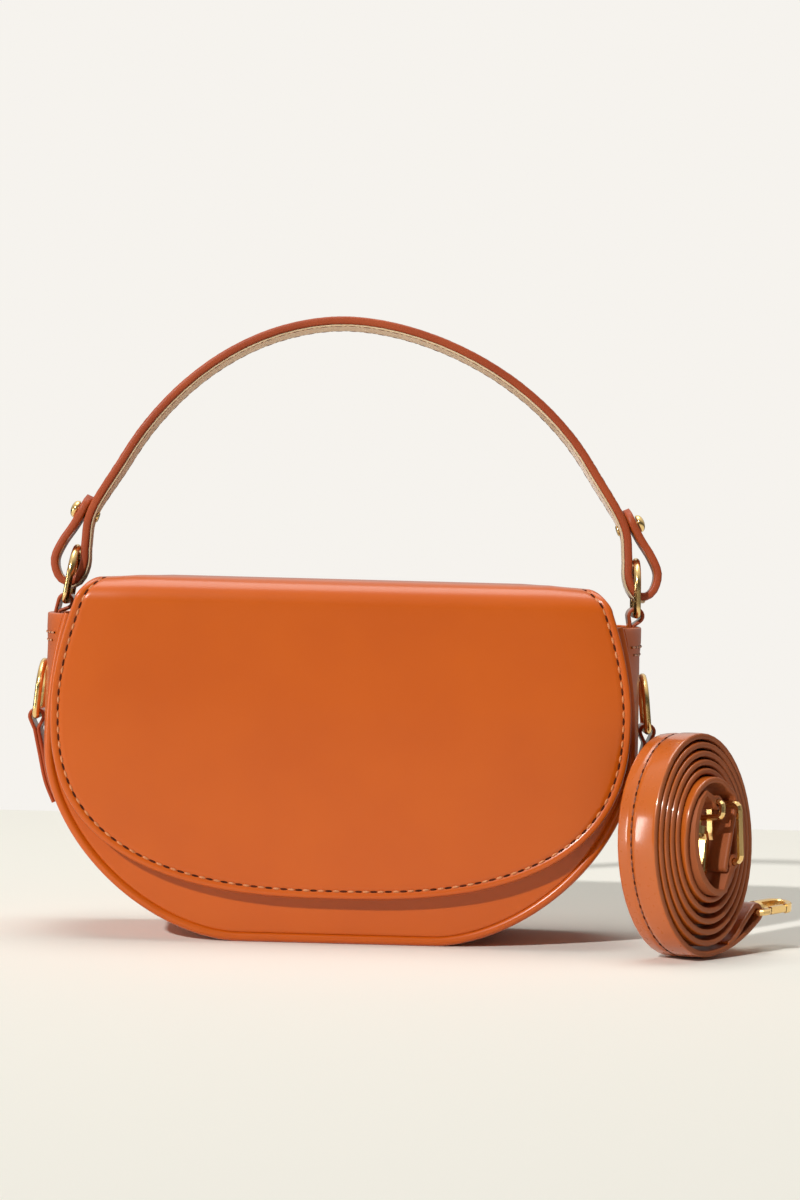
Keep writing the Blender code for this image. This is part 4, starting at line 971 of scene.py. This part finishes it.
def makeRing(side, kind, bar, lean):
    upright = Vector((-sin(lean), 0, cos(lean)))
    across = upright.cross(depthAxis).normalized()
    path = evenPath([bar + Vector((0, w, 0)) + upright * h for w, h in ringOutline()], ring["pathStep"], True)
    makePiece(f"{side}{kind}Ring", tube(path, ring["wire"], across=across, closed=True), [gold],
              f"{side}_{kind.lower()}_d_ring", [f"{side}_{kind.lower()}_ring"], 70)


def makeTab(side, kind, loopCentre, tongue, steps=24):
    up = (loopCentre - tongue[0]).normalized()
    right = Vector((up.z, 0, -up.x))
    opening = radians(tab["opening"])
    middle = tab["loop"] - tab["leather"] / 2
    loop = arc(loopCentre, right, up, middle, pi + opening, -(pi + 2 * opening), steps)
    leftPly, rightPly = [], []
    for point, along in zip(tongue, headings(tongue)):
        offset = leftOf(along) * (tab["leather"] / 2 + tab["plyGap"])
        leftPly.append(point - offset)
        rightPly.append(point + offset)
    # The upper face of each ply must lie outside, so the strap runs up the left ply and down the right one.
    path = evenPath(throughPoints(leftPly[::-1], 4) + loop + throughPoints(rightPly, 4), tab["pathStep"])
    section = slabSection(tab["halfWidth"], -tab["leather"] / 2, tab["leather"] / 2, tab["edgeRound"])
    shape = strapShape(path, lambda i: section)
    makePiece(f"{side}{kind}Tab", shape, [strapLeather, paintedEdge], "bag",
              [f"{side}_{kind.lower()}_tab"])


def sideTongue(side, height):
    # On the outside of the gusset's middle line, two plies thick.
    line = [p for p in halfMoon(0, bag["gussetHeight"]) if p.x > 0]
    for low, high in zip(line, line[1:]):
        if low.z <= height <= high.z:
            point = low.lerp(high, (height - low.z) / (high.z - low.z))
            along = (high - low).normalized()
            place = point + Vector((along.z, 0, -along.x)) * (swellAt(point) + tab["gap"] + tab["leather"])
            return Vector((side * place.x, 0, place.z))


def makeRings():
    tonguePlace = bag["sideHalfWidth"] - bag["gussetThickness"] - clearance - tab["leather"]
    rootHeight = bag["gussetHeight"] + tab["rise"]
    for word, side, barPlace in (("left", -1, ring["leftBar"]), ("right", 1, ring["rightBar"])):
        bar = Vector((barPlace, 0, barHeight))
        root = Vector((side * tonguePlace, 0, rootHeight))
        up = (bar - root).normalized()
        makeTab(word, "Handle", bar - up * barAboveLoop, [root, root - Vector((0, 0, tab["handleTongue"]))])
        topPlace = handle["shift"] + side * ring["topPlace"]
        makeRing(word, "Handle", bar, asin((barPlace - topPlace) / ringHeight))
        bar = Vector((side * (bag["sideHalfWidth"] + clearance + tab["loop"]), 0, ring["sideBarHeight"]))
        centre = bar - Vector((0, 0, barAboveLoop))
        root = centre - Vector((0, 0, tab["drop"]))
        tongue = [root] + [sideTongue(side, root.z - tab["sideTongue"] * share) for share in (0.35, 0.7, 1.0)]
        makeTab(word, "Side", centre, tongue)
        makeRing(word, "Side", bar, side * asin((tab["loop"] - ring["wire"]) / ringHeight))


makeRings()
print("rings made")

# The coiled shoulder strap.

coil = dict(
    halfWidth=0.0322, halfHeight=0.043, pitchAcross=0.0028, pitchUp=0.0037, turns=5 + 7 / 12,
    stepOut=0.0005, stepUp=0.0004, steps=48, place=(0.1325, -0.046), turn=radians(48),
    lean=radians(3.7), floorGap=0.0002, strapHalfWidth=0.0089, thickness=0.0022,
    tail=0.034, tailRise=0.011, tailSteps=8, tailLoop=0.0038, tailEnd=0.022, foldSteps=18,
    foldedEnd=((0.35, 0.6), (0.7, 0.0), (1.0, 0.0)), buckleOut=0.0062, buckleUp=0.0034,
    buckleLead=0.6, buckleHalfLength=0.011, buckleWire=0.0013, bucklePlace=0.0096,
    shortLeather=0.0012, shortGap=0.00045, edgeRound=0.0008, sectionSteps=24,
    padding=0.0003, groove=0.0005, grooveWidth=0.0009,
    stitchOffset=0.0022, stitchLength=0.0048, stitchSink=0.00005, sewnTurns=1.15,
    seam=dict(width=0.0009, lift=0.00002, shadeSpot=0.00045, slack=0.62, stretch=2.2, rise=0.42),
)
standHeight = (coil["halfHeight"] * cos(coil["lean"]) + coil["strapHalfWidth"] * sin(coil["lean"])
               + coil["floorGap"])
stand = (Matrix.Translation((*coil["place"], standHeight)) @ Matrix.Rotation(coil["turn"], 4, "Z")
         @ Matrix.Rotation(-coil["lean"], 4, "X"))


def coilLines():
    halfWidth = coil["halfWidth"] - coil["thickness"] / 2
    halfHeight = coil["halfHeight"] - coil["thickness"] / 2
    steps = round(coil["turns"] * coil["steps"])
    spiral = []
    for i in range(steps + 1):
        back = (steps - i) / coil["steps"]
        angle = -pi / 2 - back * 2 * pi
        spiral.append(Vector(((halfWidth - coil["pitchAcross"] * back) * cos(angle), 0,
                              (halfHeight - coil["pitchUp"] * back) * sin(angle) + coil["stepUp"] * back)))
    shares = [n / coil["tailSteps"] for n in range(1, coil["tailSteps"] + 1)]
    return spiral, [Vector((coil["tail"] * n, 0, spiral[-1].z + coil["tailRise"] * n * n)) for n in shares]


def buckleLead(spiral, half):
    # Round the buckle's near bar and past its far bar to the spiral's inner end.
    out, wire = coil["buckleOut"], coil["buckleWire"]
    nearBar = Vector((coil["bucklePlace"], -out, coil["buckleUp"] - coil["buckleHalfLength"]))
    farBar = Vector((coil["bucklePlace"], -out, coil["buckleUp"] + coil["buckleHalfLength"]))
    before = wire + clearance + coil["shortLeather"] + clearance + half
    lead = [nearBar - Vector((before, 0, 2 * wire)), nearBar - Vector((before, 0, 0)),
            farBar + Vector((wire + clearance + half, 0, 0)), spiral[0] - Vector((0, out, 0))]
    return throughPoints(lead, 10)[:-1]


def foldedEnd(tail, half):
    # The tail's end goes round the hook's eye and lies back on the tail.
    tip = tail[-1]
    along = (tail[-1] - tail[-3]).normalized()
    upward = leftOf(along)
    loop = coil["tailLoop"] - half
    fold = arc(tip + upward * loop, along, upward, loop, -pi / 2, pi, coil["foldSteps"])[1:]
    ply = coil["thickness"] + coil["shortGap"]
    rise = 2 * loop - ply
    return fold + throughPoints([fold[-1]] + [tip - along * coil["tailEnd"] * a + upward * (ply + rise * b)
                                              for a, b in coil["foldedEnd"]], 6)[1:]


def makeCoil():
    spiral, tail = coilLines()
    half = coil["thickness"] / 2
    turns = []
    for i, point in enumerate(spiral):
        stepped = coil["stepOut"] * (coil["turns"] - i / coil["steps"])
        share = smoothShare(1 - i / (coil["steps"] * coil["buckleLead"]))
        turns.append(point - Vector((0, stepped + (coil["buckleOut"] - stepped) * share, 0)))
    path = buckleLead(spiral, half) + turns + tail + foldedEnd(tail, half)

    def padded(x, h):
        # The outer face is padded and drawn in along its stitch line.
        if h > -half + 1e-9:
            return x, h
        groove = exp(-((x - coil["stitchOffset"]) / coil["grooveWidth"]) ** 2)
        return x, h - coil["padding"] * (1 - (x / coil["strapHalfWidth"]) ** 2) + coil["groove"] * groove

    flat = slabSection(coil["strapHalfWidth"], -half, half, coil["edgeRound"], coil["sectionSteps"])
    flat = [padded(x, h) for x, h in flat]
    shape = strapShape(path, lambda i: flat, highIndex=2)
    makePiece("shoulderStrapLeather", shape, [strapLeather, coilEdge, coilEdge], "strap_coil",
              ["shoulder_strap"], 50, stand)

    stitches = bmesh.new()
    outerTurn = turns[-int(coil["steps"] * coil["sewnTurns"]):] + tail[:-1]
    line = []
    for point, heading in zip(outerTurn, headings(outerTurn)):
        outward = depthAxis.cross(heading).normalized()
        line.append(point + outward * (half - coil["stitchSink"]) + depthAxis * coil["stitchOffset"])
    sewnAlong(stitches, line, coil, -1)
    makePiece("shoulderStrapStitches", stitches, [brownThread, holeShade], "strap_coil",
              place=stand)

    shape = softenedNode("short_strap", 0.0003)
    makePiece("shortStrapLeather", shape, [coilEdge], "strap_coil", ["short_strap"], 50)


makeCoil()
print("coil made")

# Hardware and board that keep their solids.

hardware = ["snap_socket", "snap_stud", "buckle_frame", "buckle_prong"]
hardware += [f"{word}_hook_{part}" for word in ("outer", "inner") for part in ("eye", "body", "gate")]
for node, finish in [(name, gold) for name in hardware] + [("base_board", fibreBoard)]:
    nodes[node].data.materials.clear()
    nodes[node].data.materials.append(finish)

# Stage, light and camera.

stageLook = {
    "sunPower": 2.4, "sunAngle": 2.0, "sunTurn": (59, 0, -33), "fill": 0.10, "mirrored": 0.10,
    "sunColour": (1.0, 0.98, 0.95), "fillColour": (1.0, 0.985, 0.935), "roomColour": (1.0, 0.97, 0.92),
    "background": (0.922, 0.896, 0.853), "floor": (0.930, 0.918, 0.860), "tableEdge": 0.53,
    "tableSide": 4, "tableFront": 3, "wallTilt": 0.35, "wallStart": 0.22, "wallFull": 0.8,
    "softboxes": {  # place, size, power and the point each one faces
        "windowBox": ((-1.5, -0.35, 0.24), (0.13, 0.44), 3.6, (0, 0, 0.06)),
        "overheadBox": ((-0.1, 0.1, 2.2), (1.5, 1.2), 25.0, (0, 0, 0.1)),
    },
}
cameraLook = dict(place=(0.021, -1.235, 0.151), turn=1.5, focalPixels=3133, photoHeight=1200,
              shift=-0.04, sensor=36)


def makeStage():
    # A wide table that ends behind the bag, in front of a far wall.
    side, front, back = stageLook["tableSide"], -stageLook["tableFront"], stageLook["tableEdge"]
    shape = bmesh.new()
    corners = ((-side, front), (side, front), (side, back), (-side, back))
    shape.faces.new([shape.verts.new((x, y, 0)) for x, y in corners])
    paint, tree, shader, place = blankMaterial("floorPaint")
    setSockets(shader, {"Base Color": (*stageLook["floor"], 1), "Roughness": 0.8, "Specular IOR Level": 0.1})
    addObject("floor", meshFrom("floor", shape, [paint]))


def makeWorld():
    # The camera sees a plain wall, reflections see one that brightens upward behind the table, and a dim room.
    world = bpy.data.worlds.new("studio")
    bpy.context.scene.world = world
    world.use_nodes = True
    tree = world.node_tree
    sky = tree.nodes["Background"]
    setSockets(sky, {"Color": (*stageLook["fillColour"], 1), "Strength": stageLook["fill"]})
    seen = addNode(tree, "Background", {"Color": (*stageLook["background"], 1), "Strength": 1.0})
    dim = addNode(tree, "Background", {"Color": (*stageLook["roomColour"], 1),
                                                 "Strength": stageLook["mirrored"]})
    rays = addNode(tree, "LightPath")
    ways = addNode(tree, "TexCoord").outputs["Generated"]
    heading = addNode(tree, "SeparateXYZ", {"Vector": ways})
    lean = addNode(tree, "Math", {0: heading.outputs["Y"], 1: stageLook["wallTilt"],
                                            2: heading.outputs["Z"]}, operation="MULTIPLY_ADD")
    behind = addNode(tree, "MapRange", {"Value": lean.outputs[0], "From Min": stageLook["wallStart"],
                                                  "From Max": stageLook["wallFull"]})

    def chosen(share, first, second):
        return addNode(tree, "MixShader", {0: share, 1: first.outputs[0], 2: second.outputs[0]})

    room = chosen(behind.outputs["Result"], dim, seen)
    unseen = chosen(rays.outputs["Is Glossy Ray"], sky, room)
    both = chosen(rays.outputs["Is Camera Ray"], unseen, seen)
    tree.links.new(both.outputs[0], tree.nodes["World Output"].inputs["Surface"])


def addLamp(name, kind, power, colour):
    lamp = bpy.data.lights.new(name, kind)
    lamp.energy = power
    lamp.color = colour
    return lamp, addObject(name, lamp)


def makeLights():
    lamp, sun = addLamp("windowSun", "SUN", stageLook["sunPower"], stageLook["sunColour"])
    lamp.angle = radians(stageLook["sunAngle"])
    sun.rotation_euler = [radians(a) for a in stageLook["sunTurn"]]
    for name, (place, size, power, target) in stageLook["softboxes"].items():
        lamp, box = addLamp(name, "AREA", power, stageLook["fillColour"])
        lamp.shape = "RECTANGLE"
        lamp.size, lamp.size_y = size
        box.location = place
        box.rotation_euler = (Vector(target) - Vector(place)).to_track_quat("-Z", "Y").to_euler()


def makeCamera():
    lens = bpy.data.cameras.new("camera")
    lens.sensor_width = cameraLook["sensor"]
    lens.lens = cameraLook["focalPixels"] * cameraLook["sensor"] / cameraLook["photoHeight"]
    lens.shift_y = cameraLook["shift"]
    camera = addObject("camera", lens)
    camera.matrix_world = (Matrix.Translation(cameraLook["place"]) @ Matrix.Rotation(pi / 2, 4, "X")
                           @ Matrix.Rotation(radians(cameraLook["turn"]), 4, "Z"))
    bpy.context.scene.camera = camera


makeStage()
makeWorld()
makeLights()
makeCamera()
bpy.context.scene.view_settings.view_transform = "Standard"
print("stage made")
